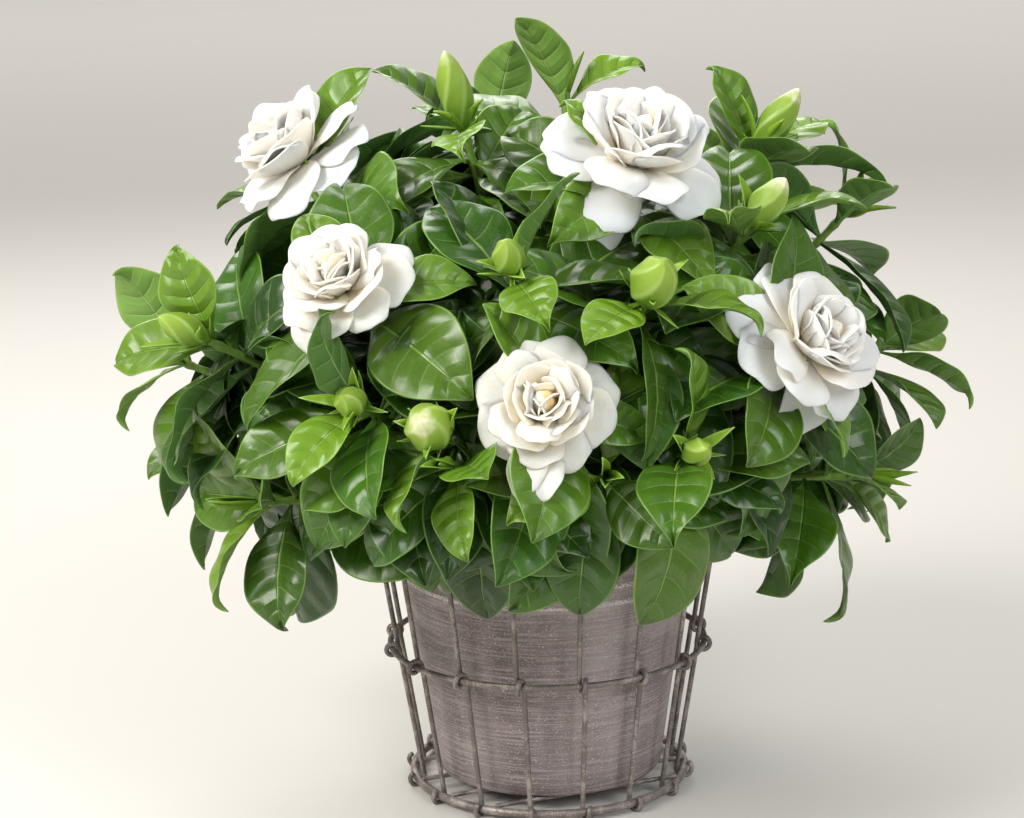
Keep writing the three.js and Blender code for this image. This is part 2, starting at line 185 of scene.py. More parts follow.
def bump_into(tree, shader, height, strength, distance):
    bump = add_node(tree, "ShaderNodeBump", None, Strength=strength, Distance=distance, Height=height)
    tree.links.new(bump.outputs[0], shader.inputs["Normal"])


def tones(tree):
    """The three numbers that each vertex of a piece carries in its attribute `tone`."""
    tone = add_node(tree, "ShaderNodeAttribute", {"attribute_name": "tone"}).outputs["Color"]
    return add_node(tree, "ShaderNodeSeparateColor", None, Color=tone).outputs[:3]


print("material helpers ready")

# %% [markdown]
# ## Floor and light
#
# A studio table is pale, and the light on it is soft and comes from large surfaces: a window-like
# panel high on the left, a weaker one on the right that draws the bluish shine on the leaves, one
# behind for the rims, a wide ceiling that keeps the far floor bright, and pale walls all round, for
# which the world's colour stands in. The floor is one large plane, so that it fills the picture
# behind the plant. It is staging and no part of the plant.

# %% Floor and its material
def floor_finish():
    material, tree, shader = new_material("pale_floor", Roughness=0.65)
    soft = noise(tree, stretched(tree, (1, 1, 1)), 2.5)
    paint(tree, shader, mix_colour(tree, soft, (0.645, 0.622, 0.59, 1), (0.66, 0.64, 0.61, 1)))
    return material


def deselect_all():
    bpy.ops.object.select_all(action="DESELECT")


deselect_all()
bpy.ops.mesh.primitive_plane_add(size=40, location=(0, 12, 0))
floor = bpy.context.object
floor.name = "floor"
bpy.ops.object.transform_apply(location=True, rotation=True, scale=True)
floor.data.materials.append(floor_finish())
floor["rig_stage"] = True
print("floor", [round(v) for v in floor.dimensions], "m")

# %% Lights
def soft_panel(name, place, aim, size, power, colour):
    bpy.ops.object.light_add(type="AREA", location=place)
    lamp = bpy.context.object
    lamp.name = name
    lamp.rotation_euler = (Vector(aim) - Vector(place)).to_track_quat("-Z", "Y").to_euler()
    lamp.data.shape = "RECTANGLE"
    lamp.data.size, lamp.data.size_y = size
    lamp.data.energy = power
    lamp.data.color = colour
    return lamp


crown_middle = (0, 0, 0.27)
soft_panel("window_left", (-1.5, -1.1, 1.7), crown_middle, (1.2, 1.2), 61, (1.0, 0.97, 0.92))
soft_panel("panel_right", (1.1, -1.5, 1.5), crown_middle, (0.7, 1.3), 23, (0.94, 0.97, 1.0))
soft_panel("panel_behind", (-0.4, 1.5, 1.5), crown_middle, (1.8, 0.9), 20, (1.0, 0.99, 0.96))
soft_panel("ceiling", (0, 7.5, 5), (0, 7.2, 0), (12, 8), 430, (1.0, 0.99, 0.97))
world = bpy.data.worlds.new("pale_walls")
world.use_nodes = True
walls = world.node_tree.nodes["Background"].inputs
walls["Color"].default_value = (0.98, 0.945, 0.88, 1)
walls["Strength"].default_value = 0.31
bpy.context.scene.world = world
print("four soft panels and pale walls")

# %% [markdown]
# ## The plan's own measures
#
# The finer pieces have to lie exactly where the plan's do, so this cell repeats the plan's driving
# dimensions, in millimetres, and the few formulas that place things from them. Angles go round the
# pot from the front, which is -Y, towards the right. `draw` is a seeded draw: the same counters
# always give the same number, so the plant comes out the same each time.

# %% Measures of pot, basket and crown
seat = 0.3
upright_count = 16
wire_radius = 1.5
foot_ring = {"radius": 80, "wire": 2.5}
middle_ring = {"radius": 92, "height": 84, "wire": 1.8}
top_ring = {"radius": 103.5, "height": 158, "wire": 1.8}
bar_radius = 1.3
bar_turn = 22.5
pot_foot_radius = 66
pot_rim_radius = 87.5
pot_height = 148
pot_wall = 4
pot_floor = 5
soil_below_rim = 12
crown = {"left": 2.5, "back": 2.5, "height": 250, "radius": 208, "rise": 152, "fall": 132}
stem_length = 96
leaf_length = 84
leaf_width = 46

worn_foot = 0.8
foot_ring["height"] = foot_ring["wire"] + seat + wire_radius + wire_radius - worn_foot
bar_height = foot_ring["height"] + foot_ring["wire"] + 0.5
pot_foot = bar_height + bar_radius + seat
rim_height = pot_foot + pot_height
soil_top = rim_height - soil_below_rim


def around(degrees):
    turn = math.radians(degrees)
    return Vector((math.sin(turn), -math.cos(turn), 0))


def draw(a, b, c=0):
    value = math.sin(a * 127.1 + b * 311.7 + c * 74.7) * 43758.5453
    return value - math.floor(value)


def spread(middle, reach, a, b, c=0):
    return middle + reach * (2 * draw(a, b, c) - 1)


print("pot from", round(pot_foot, 1), "to", round(rim_height, 1), "mm, soil at", round(soil_top, 1), "mm")

# %% [markdown]
# ## Modelling by hand in code
#
# In the viewport you would click a row of vertices and press a key. In a script the same click is
# a test on each vertex's place, made in edit mode: `pick` does that. `raise_walls` is the most
# used move of this lesson. It adds a circle and extrudes it from ring to ring, resizing each time,
# the way a potter raises a wall, and it makes the pot, the stems and the buds. `finish` leaves
# edit mode, turns the faces outwards and puts the object's place into its mesh.

# %% Helpers for modelling
def pick(piece, test):
    """Selects the vertices whose place passes the test. The piece is in edit mode."""
    mesh = bmesh.from_edit_mesh(piece.data)
    bpy.ops.mesh.select_all(action="DESELECT")
    for vertex in mesh.verts:
        if test(vertex.co):
            vertex.select_set(True)
    mesh.select_flush(True)
    bmesh.update_edit_mesh(piece.data)


def finish(piece, name):
    """Leaves edit mode with the faces outwards and the piece's place in its mesh."""
    if piece.mode == "EDIT":
        bpy.ops.mesh.select_all(action="SELECT")
        bpy.ops.mesh.remove_doubles(threshold=0.00001)
        bpy.ops.mesh.normals_make_consistent(inside=False)
        bpy.ops.object.mode_set(mode="OBJECT")
    bpy.ops.object.transform_apply(location=True, rotation=True, scale=True)
    bpy.ops.object.shade_smooth()
    piece.name = piece.data.name = name
    return piece


def raise_walls(name, rings, sides, twist=0):
    """Extrudes a circle through (radius, height) rings in millimetres, turning it by twist each time."""
    deselect_all()
    radius, height = rings[0]
    bpy.ops.mesh.primitive_circle_add(
        vertices=sides, radius=radius * MM, fill_type="NGON", location=(0, 0, height * MM)
    )
    piece = bpy.context.object
    bpy.ops.object.transform_apply(location=True, rotation=True, scale=True)
    bpy.ops.object.mode_set(mode="EDIT")
    bpy.ops.mesh.select_all(action="SELECT")
    for (last_radius, last_height), (radius, height) in zip(rings, rings[1:]):
        rise = (0, 0, (height - last_height) * MM)
        bpy.ops.mesh.extrude_region_move(TRANSFORM_OT_translate={"value": rise})
        middle = (0, 0, height * MM)
        share = radius / last_radius
        bpy.ops.transform.resize(value=(share, share, 1), center_override=middle)
        if twist:
            bpy.ops.transform.rotate(value=-math.radians(twist), orient_axis="Z", center_override=middle)
    return finish(piece, name)


print("hand tools ready")

# %% [markdown]
# ## Modifiers, copies and handing a piece over
#
# A modifier is added and applied in one go, so that each mesh is final. What repeats is modelled
# once, and every copy gets its own mesh with its place in it. `take_place` hides the pieces of the
# plan that a finished piece replaces and gives it the slot from which it takes its finish. No part of
# this plant moves, so every piece rides on the one body, which is called root.

# %% Helpers for modifiers, copies and joins
def apply_modifier(piece, name, kind, **settings):
    modifier = piece.modifiers.new(name, kind)
    for setting, value in settings.items():
        setattr(modifier, setting, value)
    deselect_all()
    piece.select_set(True)
    bpy.context.view_layer.objects.active = piece
    bpy.ops.object.modifier_apply(modifier=modifier.name)


def subdivide(piece):
    apply_modifier(piece, "rounding", "SUBSURF", levels=1, render_levels=1)


def copy_of(model, name, matrix=None):
    """A copy with its own mesh. Its place goes into the mesh, and the object stays at the origin."""
    twin = model.copy()
    twin.data = model.data.copy()
    twin.name = twin.data.name = name
    bpy.context.scene.collection.objects.link(twin)
    if matrix is not None:
        twin.data.transform(matrix)
    return twin


def join(name, parts):
    deselect_all()
    for part in parts:
        part.select_set(True)
    bpy.context.view_layer.objects.active = parts[0]
    if len(parts) > 1:
        bpy.ops.object.join()
    joined = bpy.context.view_layer.objects.active
    joined.name = joined.data.name = name
    return joined


def put_away(*models):
    for model in models:
        bpy.data.objects.remove(model)


def take_place(piece, slot, *nodes):
    """The finished piece rides with the plant, hides the CAD nodes it replaces and gets its finish slot."""
    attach(piece, "root")
    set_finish(piece, slot)
    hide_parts(*nodes)
    return piece


def count_triangles(piece):
    return sum(len(face.vertices) - 2 for face in piece.data.polygons)


print("modifiers, copies and joins ready")

# %% [markdown]
# ## Antique wire
#
# The basket is galvanised wire, brushed with a dull brown-grey and rubbed back, so that pale zinc
# shows in patches. One node group makes the rubbed patches, since the pot uses them too: noise at a
# large scale says where the rub is, and noise at a small scale breaks it up.

# %% Rubbed finish group and the wire's material
def rubbed_group():
    group = bpy.data.node_groups.new("Rubbed", "ShaderNodeTree")
    face = group.interface
    face.new_socket("Vector", in_out="INPUT", socket_type="NodeSocketVector")
    for name, value in (("Patch scale", 60.0), ("Grain scale", 900.0), ("Amount", 0.5)):
        face.new_socket(name, in_out="INPUT", socket_type="NodeSocketFloat").default_value = value
    face.new_socket("Mask", in_out="OUTPUT", socket_type="NodeSocketFloat")
    face.new_socket("Grain", in_out="OUTPUT", socket_type="NodeSocketFloat")
    given = add_node(group, "NodeGroupInput").outputs
    patch = noise(group, given["Vector"], given["Patch scale"], 4.0, 0.6)
    grain = noise(group, given["Vector"], given["Grain scale"], 2.0, 0.7)
    broken = sums(group, "MULTIPLY_ADD", grain, 0.7, patch)
    shifted = sums(group, "MULTIPLY_ADD", given["Amount"], 0.5, broken)
    mask = ramp(group, shifted, 1.02, 1.22)
    add_node(group, "NodeGroupOutput", None, Mask=mask, Grain=grain)
    return group


rubbed = rubbed_group()


def wire_finish():
    material, tree, shader = new_material("antique_wire", Metallic=0.45, Specular_IOR_Level=0.5)
    place = stretched(tree, (1, 1, 1))
    rub = add_node(
        tree, "ShaderNodeGroup", {"node_tree": rubbed},
        Vector=place, Patch_scale=110.0, Grain_scale=1300.0, Amount=0.44,
    )
    shade = noise(tree, place, 35.0)
    dull = mix_colour(tree, shade, (0.133, 0.111, 0.102, 1), (0.250, 0.214, 0.198, 1))
    rubbed_back = sums(tree, "MULTIPLY", rub.outputs["Mask"], 0.6)
    colour = mix_colour(tree, rubbed_back, dull, (0.54, 0.49, 0.455, 1))
    rough = sums(tree, "MULTIPLY_ADD", rub.outputs["Grain"], 0.25, 0.32)
    paint(tree, shader, colour, rough)
    bump_into(tree, shader, rub.outputs["Grain"], 0.35, 0.0006)
    return material


wire_material = wire_finish()
print("antique wire:", len(wire_material.node_tree.nodes), "nodes")

# %% [markdown]
# ## Basket rings
#
# A ring is a round wire bent into a hoop. A torus would do, but a circle spun round the Z axis is
# the same hoop made as a tool would make it, and Spin works for any section. Real wire isn't quite
# even, so a Displace modifier with a soft cloud texture presses it in and out by a tenth or two of
# a millimetre. Spin can turn a shape inside out, and `finish` sets that right.

# %% Spin the two upper rings
hoop_sides = 10
hoop_steps = 128
clouds = bpy.data.textures.new("uneven", "CLOUDS")
clouds.noise_scale = 0.012
clouds.noise_depth = 2


def uneven(piece, depth):
    """Presses the surface softly in and out, by up to half of depth in millimetres."""
    apply_modifier(piece, "uneven", "DISPLACE", texture=clouds, strength=depth * MM, mid_level=0.5)


def spin_ring(name, ring):
    deselect_all()
    bpy.ops.mesh.primitive_circle_add(
        vertices=hoop_sides,
        radius=ring["wire"] * MM,
        location=(ring["radius"] * MM, 0, ring["height"] * MM),
        rotation=(math.pi / 2, 0, 0),
    )
    piece = bpy.context.object
    bpy.ops.object.transform_apply(location=True, rotation=True, scale=True)
    bpy.ops.object.mode_set(mode="EDIT")
    bpy.ops.mesh.select_all(action="SELECT")
    bpy.ops.mesh.spin(steps=hoop_steps, angle=2 * math.pi, center=(0, 0, 0), axis=(0, 0, 1))
    finish(piece, name)
    uneven(piece, depth=0.35)
    piece.data.materials.append(wire_material)
    return piece


hoops = {
    "middle_hoop": (middle_ring, "basket_middle_ring"),
    "top_hoop": (top_ring, "basket_top_ring"),
}
for name, (ring, node) in hoops.items():
    hoop = take_place(spin_ring(name, ring), "wire", node)
    print(name, count_triangles(hoop), "triangles")

# %% [markdown]
# ## Basket foot
#
# Five straight bars lie across the foot ring and carry the pot. Each was welded where it crosses.
# A bar is raised like a wall: a circle is extruded from end to end, with a few smaller rings that
# round its ends. Its length is the chord of the ring where it lies. Then it is laid down and turned
# into place, and ring and bars are joined, because welding makes them one.

# %% Bars under the pot
def bar_rings(length, radius):
    nose = 0.5 * radius
    return [
        (0.55 * radius, 0),
        (0.92 * radius, 0.3 * nose),
        (radius, nose),
        (radius, length / 2),
        (radius, length - nose),
        (0.92 * radius, length - 0.3 * nose),
        (0.55 * radius, length),
    ]


bar_angles = (-45, -22.5, 0, 22.5, 45)
foot_parts = [spin_ring("foot_hoop", foot_ring)]
lying = Matrix.Rotation(math.pi / 2, 4, "Y")
for angle in bar_angles:
    half = foot_ring["radius"] * math.cos(math.radians(angle))
    aside = foot_ring["radius"] * math.sin(math.radians(angle))
    bar = raise_walls("bar", bar_rings(2 * half, bar_radius), hoop_sides)
    place = (
        Matrix.Rotation(math.radians(bar_turn), 4, "Z")
        @ Matrix.Translation((-half * MM, aside * MM, bar_height * MM))
        @ lying
    )
    bar.data.transform(place)
    bar.data.materials.append(wire_material)
    foot_parts.append(bar)
basket_foot = take_place(join("foot_hoop_with_bars", foot_parts), "wire", "basket_foot")
print("foot with", len(bar_angles), "bars:", count_triangles(basket_foot), "triangles")

# %% [markdown]
# ## Wrapped uprights
#
# Each upright hooks over the top hoop from outside, comes down inside the basket, takes one full
# turn round the middle hoop, and winds under the foot hoop and up its outside. We list the points
# that the wire passes through, hoop by hoop, and walk a circle along them: extrude to the next
# point, then turn the new ring about Y into the bend. Sixteen copies are turned about Z. The path
# has corners, so it keeps 3% further out than a smooth wrap would need. The plan's uprights stand
# on a flat worn under the lowest wrap, which one bisect cuts.

# %% The path of an upright
wrap_pitch = 2 * wire_radius + 0.8
turn_steps = 14
corner_allowance = 1.03


def wrap(ring, start, end, sideways):
    """Points round a hoop from one angle to another: 0 is outside, 90 on top, 180 inside."""
    reach = corner_allowance * (ring["wire"] + seat + wire_radius)
    steps = round(turn_steps * abs(end - start) / 360)
    points = []
    for i in range(steps + 1):
        angle = start + (end - start) * i / steps
        out = ring["radius"] + reach * math.cos(math.radians(angle))
        aside = sideways + wrap_pitch * abs(angle - start) / 360
        height = ring["height"] + reach * math.sin(math.radians(angle))
        points.append(Vector((out, aside, height)) * MM)
    return points


upright_path = (
    wrap(top_ring, -60, 180, -wrap_pitch * 0.67)
    + wrap(middle_ring, 180, 540, 0)
    + wrap(foot_ring, 180, 420, wrap_pitch)
)
print("an upright passes", len(upright_path), "points")

# %% Walk a circle along the path and copy the wire
upright_sides = 9


def walk_wire(name, points, radius):
    """A round wire through points that bend in the X-Z plane."""
    def lean(here, there):
        return math.atan2(there.x - here.x, there.z - here.z)

    deselect_all()
    facing = lean(points[0], points[1])
    bpy.ops.mesh.primitive_circle_add(
        vertices=upright_sides, radius=radius, fill_type="NGON", location=points[0], rotation=(0, facing, 0)
    )
    piece = bpy.context.object
    bpy.ops.object.transform_apply(location=True, rotation=True, scale=True)
    bpy.ops.object.mode_set(mode="EDIT")
    bpy.ops.mesh.select_all(action="SELECT")
    for number in range(1, len(points)):
        here, there = points[number - 1], points[number]
        after = points[min(number + 1, len(points) - 1)]
        bpy.ops.mesh.extrude_region_move(TRANSFORM_OT_translate={"value": there - here})
        leaving = lean(there, after) if after != there else lean(here, there)
        arriving = lean(here, there)
        bend = (leaving - arriving + math.pi) % (2 * math.pi) - math.pi
        wanted = arriving + bend / 2
        turn = (wanted - facing + math.pi) % (2 * math.pi) - math.pi
        bpy.ops.transform.rotate(value=-turn, orient_axis="Y", center_override=there)
        facing = wanted
    return finish(piece, name)


upright = walk_wire("upright", upright_path, wire_radius * MM)
bpy.ops.object.mode_set(mode="EDIT")
bpy.ops.mesh.select_all(action="SELECT")
bpy.ops.mesh.bisect(plane_co=(0, 0, 0), plane_no=(0, 0, 1), use_fill=True, clear_inner=True)
bpy.ops.object.mode_set(mode="OBJECT")
upright.data.materials.append(wire_material)
for number in range(upright_count):
    degrees = 360 * (number + 0.5) / upright_count
    turned = Matrix.Rotation(math.radians(degrees - 90), 4, "Z")
    twin = copy_of(upright, f"wrapped_upright_{number + 1}", turned)
    take_place(twin, "wire", f"basket_upright_{number + 1}")
print(upright_count, "uprights of", count_triangles(upright), "triangles each")
put_away(upright)

# %% [markdown]
# ## Brushed pot finish
#
# The pot is matt, grey-brown and slightly mauve. Up close it is covered in fine level lines, as if
# brushed while it turned, with pale specks and a paler line on each raised band. The level lines
# are noise squeezed in height. Broad upright bands of painted shade come from noise that is squeezed
# the other way, and the raised bands are found by their height, since Object coordinates are metres
# above the floor.

# %% The pot's material
band_heights = [rim_height - 31, rim_height - 21]
band_wander = 2.2


def pot_finish():
    material, tree, shader = new_material("brushed_pot", Specular_IOR_Level=0.35)
    lines = noise(tree, stretched(tree, (28, 28, 820)), 1.0, 3.0, 0.6)
    broad_lines = noise(tree, stretched(tree, (4, 4, 95)), 1.0, 2.0, 0.5)
    painted_upright_shade = noise(tree, stretched(tree, (34, 34, 2.5)), 1.0, 2.0, 0.55)
    specks = noise(tree, stretched(tree, (1, 1, 1.3)), 950.0, 1.0, 0.5)
    rub = add_node(
        tree, "ShaderNodeGroup", {"node_tree": rubbed},
        Vector=stretched(tree, (0.5, 0.5, 2.5)), Patch_scale=22.0, Grain_scale=700.0, Amount=0.30,
    )
    # Painted shade: broad upright bands darken the pot where shadows would fall on it.
    shaded = ramp(tree, painted_upright_shade, 0.25, 0.75)
    base = mix_colour(tree, shaded, (0.162, 0.131, 0.129, 1), (0.365, 0.311, 0.306, 1))
    dark_lines = sums(tree, "MULTIPLY", ramp(tree, broad_lines, 0.62, 0.36), 0.16)
    lined = mix_colour(tree, dark_lines, base, (0.120, 0.098, 0.092, 1))
    pale_lines = sums(tree, "MULTIPLY", ramp(tree, lines, 0.44, 0.66), 0.42)
    brushed = mix_colour(tree, pale_lines, lined, (0.58, 0.505, 0.50, 1))
    pale = sums(tree, "MULTIPLY", ramp(tree, specks, 0.60, 0.72), 0.6)
    specked = mix_colour(tree, pale, brushed, (0.75, 0.67, 0.66, 1))
    chalky = sums(tree, "MULTIPLY", rub.outputs["Mask"], 0.3)
    colour = mix_colour(tree, chalky, specked, (0.60, 0.525, 0.525, 1))
    height = add_node(tree, "ShaderNodeSeparateXYZ", None, Vector=stretched(tree, (1, 1, 1))).outputs["Z"]
    wander = sums(tree, "MULTIPLY", noise(tree, stretched(tree, (22, 22, 1)), 1.0), band_wander * MM)
    wavy_height = sums(tree, "ADD", height, wander)
    for band in band_heights:
        middle = (band + band_wander / 2) * MM
        off = sums(tree, "ABSOLUTE", sums(tree, "SUBTRACT", wavy_height, middle))
        line = ramp(tree, off, 0.0021, 0.0005)
        broken = sums(tree, "MULTIPLY", line, ramp(tree, specks, 0.34, 0.60))
        colour = mix_colour(tree, sums(tree, "MULTIPLY", broken, 0.85), colour, (0.82, 0.75, 0.74, 1))
    rough = sums(tree, "MULTIPLY_ADD", lines, 0.25, 0.52)
    paint(tree, shader, colour, rough)
    bump_into(tree, shader, sums(tree, "ADD", lines, specks), 0.25, 0.0007)
    return material


pot_material = pot_finish()
print("brushed pot:", len(pot_material.node_tree.nodes), "nodes")

# %% [markdown]
# ## Pot
#
# The pot tapers to its foot. Its wall is raised in one go from the foot disc: up the outside, over
# a rounded rim and down the inside to the floor. The two shallow bands and the soft lip are only a
# few more rings in that list, placed at their real heights.

# %% Raise the pot
def pot_radius(height):
    return pot_foot_radius + (pot_rim_radius - pot_foot_radius) * (height - pot_foot) / pot_height


band_rise = 0.9
band_softness = 1.3
wall_step = 6.5
band_step = 1.25
inside_step = 18
pot_sides = 96


def banded(height):
    """The outside radius: two rounded bands stand out a little under the rim."""
    swell = sum(math.exp(-(((height - band) / band_softness) ** 2)) for band in band_heights)
    return pot_radius(height) + band_rise * swell


outside = [pot_foot + 1.5 + wall_step * i for i in range(18)]
outside += [rim_height - 33 + band_step * i for i in range(13)]
outside += [rim_height - 14, rim_height - 9, rim_height - 5]
inside = [rim_height - 3 - inside_step * i for i in range(8)]
inner_floor = pot_foot + pot_floor
pot_rings = [(30, pot_foot), (pot_foot_radius - 2, pot_foot), (pot_foot_radius - 0.6, pot_foot + 0.5)]
pot_rings += [(banded(height), height) for height in sorted(outside)]
pot_rings += [
    (pot_rim_radius + 0.5, rim_height - 3.2),
    (pot_rim_radius + 0.9, rim_height - 2),
    (pot_rim_radius + 0.6, rim_height - 0.5),
    (pot_rim_radius - 0.4, rim_height),
    (pot_rim_radius - pot_wall + 1, rim_height),
    (pot_rim_radius - pot_wall + 0.1, rim_height - 0.6),
]
pot_rings += [(pot_radius(height) - pot_wall, height) for height in inside]
pot_rings += [(pot_radius(inner_floor) - pot_wall - 1, inner_floor), (20, inner_floor)]
pot = raise_walls("brushed_pot", pot_rings, pot_sides)
pot.data.materials.append(pot_material)
take_place(pot, "pot", "pot")
print("pot:", len(pot_rings), "rings,", count_triangles(pot), "triangles")

# %% [markdown]
# ## Potting soil
#
# The soil hardly shows, but someone who looks down between the leaves should find dark, crumbly
# compost with bits of bark. Rings go up the wall and then inwards to the trunk's hole, and those on
# top are pressed into lumps by a cloud texture with a finer grain than the wire's.

# %% The soil's material and its crumbly top
def soil_finish():
    material, tree, shader = new_material("potting_soil", Roughness=0.95, Specular_IOR_Level=0.2)
    place = stretched(tree, (1, 1, 1))
    crumbs = noise(tree, place, 260.0, 5.0, 0.65)
    bits = add_node(tree, "ShaderNodeTexVoronoi", None, Vector=place, Scale=320.0).outputs["Color"]
    crumbled = ramp(tree, crumbs, 0.35, 0.7)
    dark = mix_colour(tree, crumbled, (0.012, 0.008, 0.006, 1), (0.075, 0.048, 0.030, 1))
    bark = ramp(tree, add_node(tree, "ShaderNodeSeparateColor", None, Color=bits).outputs[0], 0.86, 0.9)
    colour = mix_colour(tree, bark, dark, (0.16, 0.09, 0.045, 1))
    paint(tree, shader, colour)
    bump_into(tree, shader, crumbs, 0.8, 0.004)
    return material


trunk_radius = 9
lump_height = 3
soil_sides = 48
soil_floor = inner_floor + seat
soil_edge = pot_radius(soil_top) - pot_wall - 1
soil_rings = [(20, soil_floor), (pot_radius(soil_floor) - pot_wall - 1, soil_floor), (soil_edge, soil_top)]
soil_rings += [(soil_edge * (1 - 0.12 * i), soil_top + 0.7 * i) for i in range(1, 7)]
soil_rings += [
    (trunk_radius + 3, soil_top + 4),
    (trunk_radius + 1, soil_top + 2),
    (trunk_radius + 1, soil_top - 6),
]
soil = raise_walls("potting_soil", soil_rings, soil_sides)
lumps = bpy.data.textures.new("lumps", "CLOUDS")
lumps.noise_scale = 0.006
lumps.noise_depth = 3
top_of_soil = soil.vertex_groups.new(name="top")
off_trunk = (trunk_radius + 4) * MM
crumbly = [v.index for v in soil.data.vertices if v.co.z > soil_top * MM and v.co.xy.length > off_trunk]
top_of_soil.add(crumbly, 1, "REPLACE")
apply_modifier(
    soil, "lumpy", "DISPLACE",
    texture=lumps, strength=lump_height * MM, mid_level=0.5, vertex_group="top", direction="Z",
)
soil.data.materials.append(soil_finish())
take_place(soil, "soil", "soil")
print("soil:", count_triangles(soil), "triangles")

# %% [markdown]
# ## Where the shoots stand
#
# The plan names 17 shoots: 14 carry the blooms and buds of the photograph, two make the skirt of
# leaves in front and one the edge at the left. It adds 16 more where the crown has most room. The
# same rule is repeated here step by step, so both come out alike. A shoot is a stem from its foot,
# where it meets a twig, to its tip on the crown's surface. Its twig starts on the nearest of six
# limbs, at places that take turns, so that twigs don't all leave a limb at one point.

# %% Repeat the plan's rule for shoots
shown = [
    {"name": "bloom_front", "turn": 1, "lift": 6.5, "bloom": {"size": 0.97, "roll": 20}},
    {"name": "bloom_left", "turn": -31, "lift": 27, "bloom": {"size": 1, "roll": 50}},
    {"name": "bloom_upper_left", "turn": -72, "lift": 51, "bloom": {"size": 1.2, "roll": 10}},
    {"name": "bloom_top", "turn": 24, "lift": 54, "bloom": {"size": 1.3, "roll": 35}},
    {"name": "bloom_right", "turn": 41, "lift": 13, "bloom": {"size": 1.14, "roll": 0}},
    {"name": "bud_tall", "turn": -31, "lift": 69, "bud": {"length": 44, "radius": 9}},
    {"name": "bud_plump", "turn": 17, "lift": 26, "bud": {"length": 34, "radius": 12}},
    {"name": "bud_opening", "turn": -14, "lift": 2, "bud": {"length": 28, "radius": 12}},
    {"name": "bud_curled", "turn": -4, "lift": 32, "bud": {"length": 26, "radius": 8}},
    {"name": "bud_pale", "turn": 82, "lift": 53, "bud": {"length": 40, "radius": 9}},
    {"name": "bud_striped", "turn": 43, "lift": 38, "bud": {"length": 34, "radius": 9}},
    {"name": "bud_side", "turn": 88, "lift": 33, "bud": {"length": 30, "radius": 6}},
    {"name": "bud_low", "turn": 21, "lift": -4.5, "bud": {"length": 24, "radius": 7}},
    {"name": "bud_round", "turn": -26, "lift": 6, "bud": {"length": 20, "radius": 8}},
    {"name": "skirt_left", "turn": -12, "lift": -5},
    {"name": "skirt_right", "turn": 9, "lift": -8},
    {"name": "left_edge", "turn": -84, "lift": 3},
]
shoot_count = 33
crown_places = 400
highest_sine = 0.995
sine_span = 1.48
bud_every = 4
added_bud = {"length": 30, "radius": 8}
golden_angle = 180 * (3 - math.sqrt(5))


def crown_point(turn, lift):
    rise = crown["rise"] if lift > 0 else crown["fall"]
    point = around(turn) * crown["radius"] * math.cos(math.radians(lift))
    middle = Vector((-crown["left"], crown["back"], crown["height"]))
    return point + middle + Vector((0, 0, rise * math.sin(math.radians(lift))))


def place_tips():
    shoots = [{**shoot, "tip": crown_point(shoot["turn"], shoot["lift"])} for shoot in shown]
    sines = [highest_sine - sine_span * i / crown_places for i in range(crown_places)]
    places = [crown_point(i * golden_angle, math.degrees(math.asin(sine))) for i, sine in enumerate(sines)]
    while len(shoots) < shoot_count:
        tip = max(places, key=lambda place: min((shoot["tip"] - place).length for shoot in shoots))
        added = len(shoots) - len(shown) + 1
        shoot = {"name": f"leafy_{added}", "tip": tip}
        if added % bud_every == 0:
            shoot["bud"] = added_bud
        shoots.append(shoot)
    return shoots


print(len(shown), "shoots of the photograph, and", shoot_count - len(shown), "more to place")

# %% Set every shoot on its limb
side_limbs = 5
limb_reach = 36
twig_places = [1, 0.86, 0.72, 0.58, 0.93, 0.79, 0.65]


def above_soil(height):
    return Vector((0, 0, soil_top + height))


fork = above_soil(12)
limb_ends = [around(360 / side_limbs * i + 20) * limb_reach + above_soil(42) for i in range(side_limbs)]
limb_ends.append(above_soil(72))


def place_shoots():
    shoots = place_tips()
    carried = [0] * len(limb_ends)
    for number, shoot in enumerate(shoots):
        limb = min(range(len(limb_ends)), key=lambda i: (limb_ends[i] - shoot["tip"]).length)
        share = twig_places[carried[limb] % len(twig_places)]
        carried[limb] += 1
        shoot["number"] = number
        shoot["twig_root"] = fork.lerp(limb_ends[limb], share)
        shoot["axis"] = (shoot["tip"] - shoot["twig_root"]).normalized()
        shoot["foot"] = shoot["tip"] - shoot["axis"] * stem_length
        level = Vector((0, 0, 1)).cross(shoot["axis"]).normalized()
        shoot["sides"] = (level, shoot["axis"].cross(level))
    return shoots


shoots = place_shoots()
print(len(shoots), "shoots, the last with its tip at", [round(v, 1) for v in shoots[-1]["tip"]])

# %% [markdown]
# ## Bark
#
# Gardenia wood is grey-brown with fine cracks along it. Where a twig turns into this year's stem it
# goes green, so the stem's finish further on blends the two by the height along the stem.

# %% The bark's material
def bark_finish():
    material, tree, shader = new_material("bark", Roughness=0.85, Specular_IOR_Level=0.3)
    place = stretched(tree, (1, 1, 0.35))
    cracks = noise(tree, place, 420.0, 4.0, 0.65)
    cracked = ramp(tree, cracks, 0.35, 0.65)
    colour = mix_colour(tree, cracked, (0.045, 0.032, 0.02, 1), (0.21, 0.165, 0.105, 1))
    paint(tree, shader, colour)
    bump_into(tree, shader, cracks, 0.7, 0.0015)
    return material


bark_material = bark_finish()
print("bark:", len(bark_material.node_tree.nodes), "nodes")

# %% [markdown]
# ## Branches
#
# A branch is a tapered stick that swells at its knots. One stick is raised 100 mm tall with a few
# uneven rings, and each branch is a copy that is stretched between two points: the matrix that does
# it scales the copy's width and length and turns its Z axis along the branch.

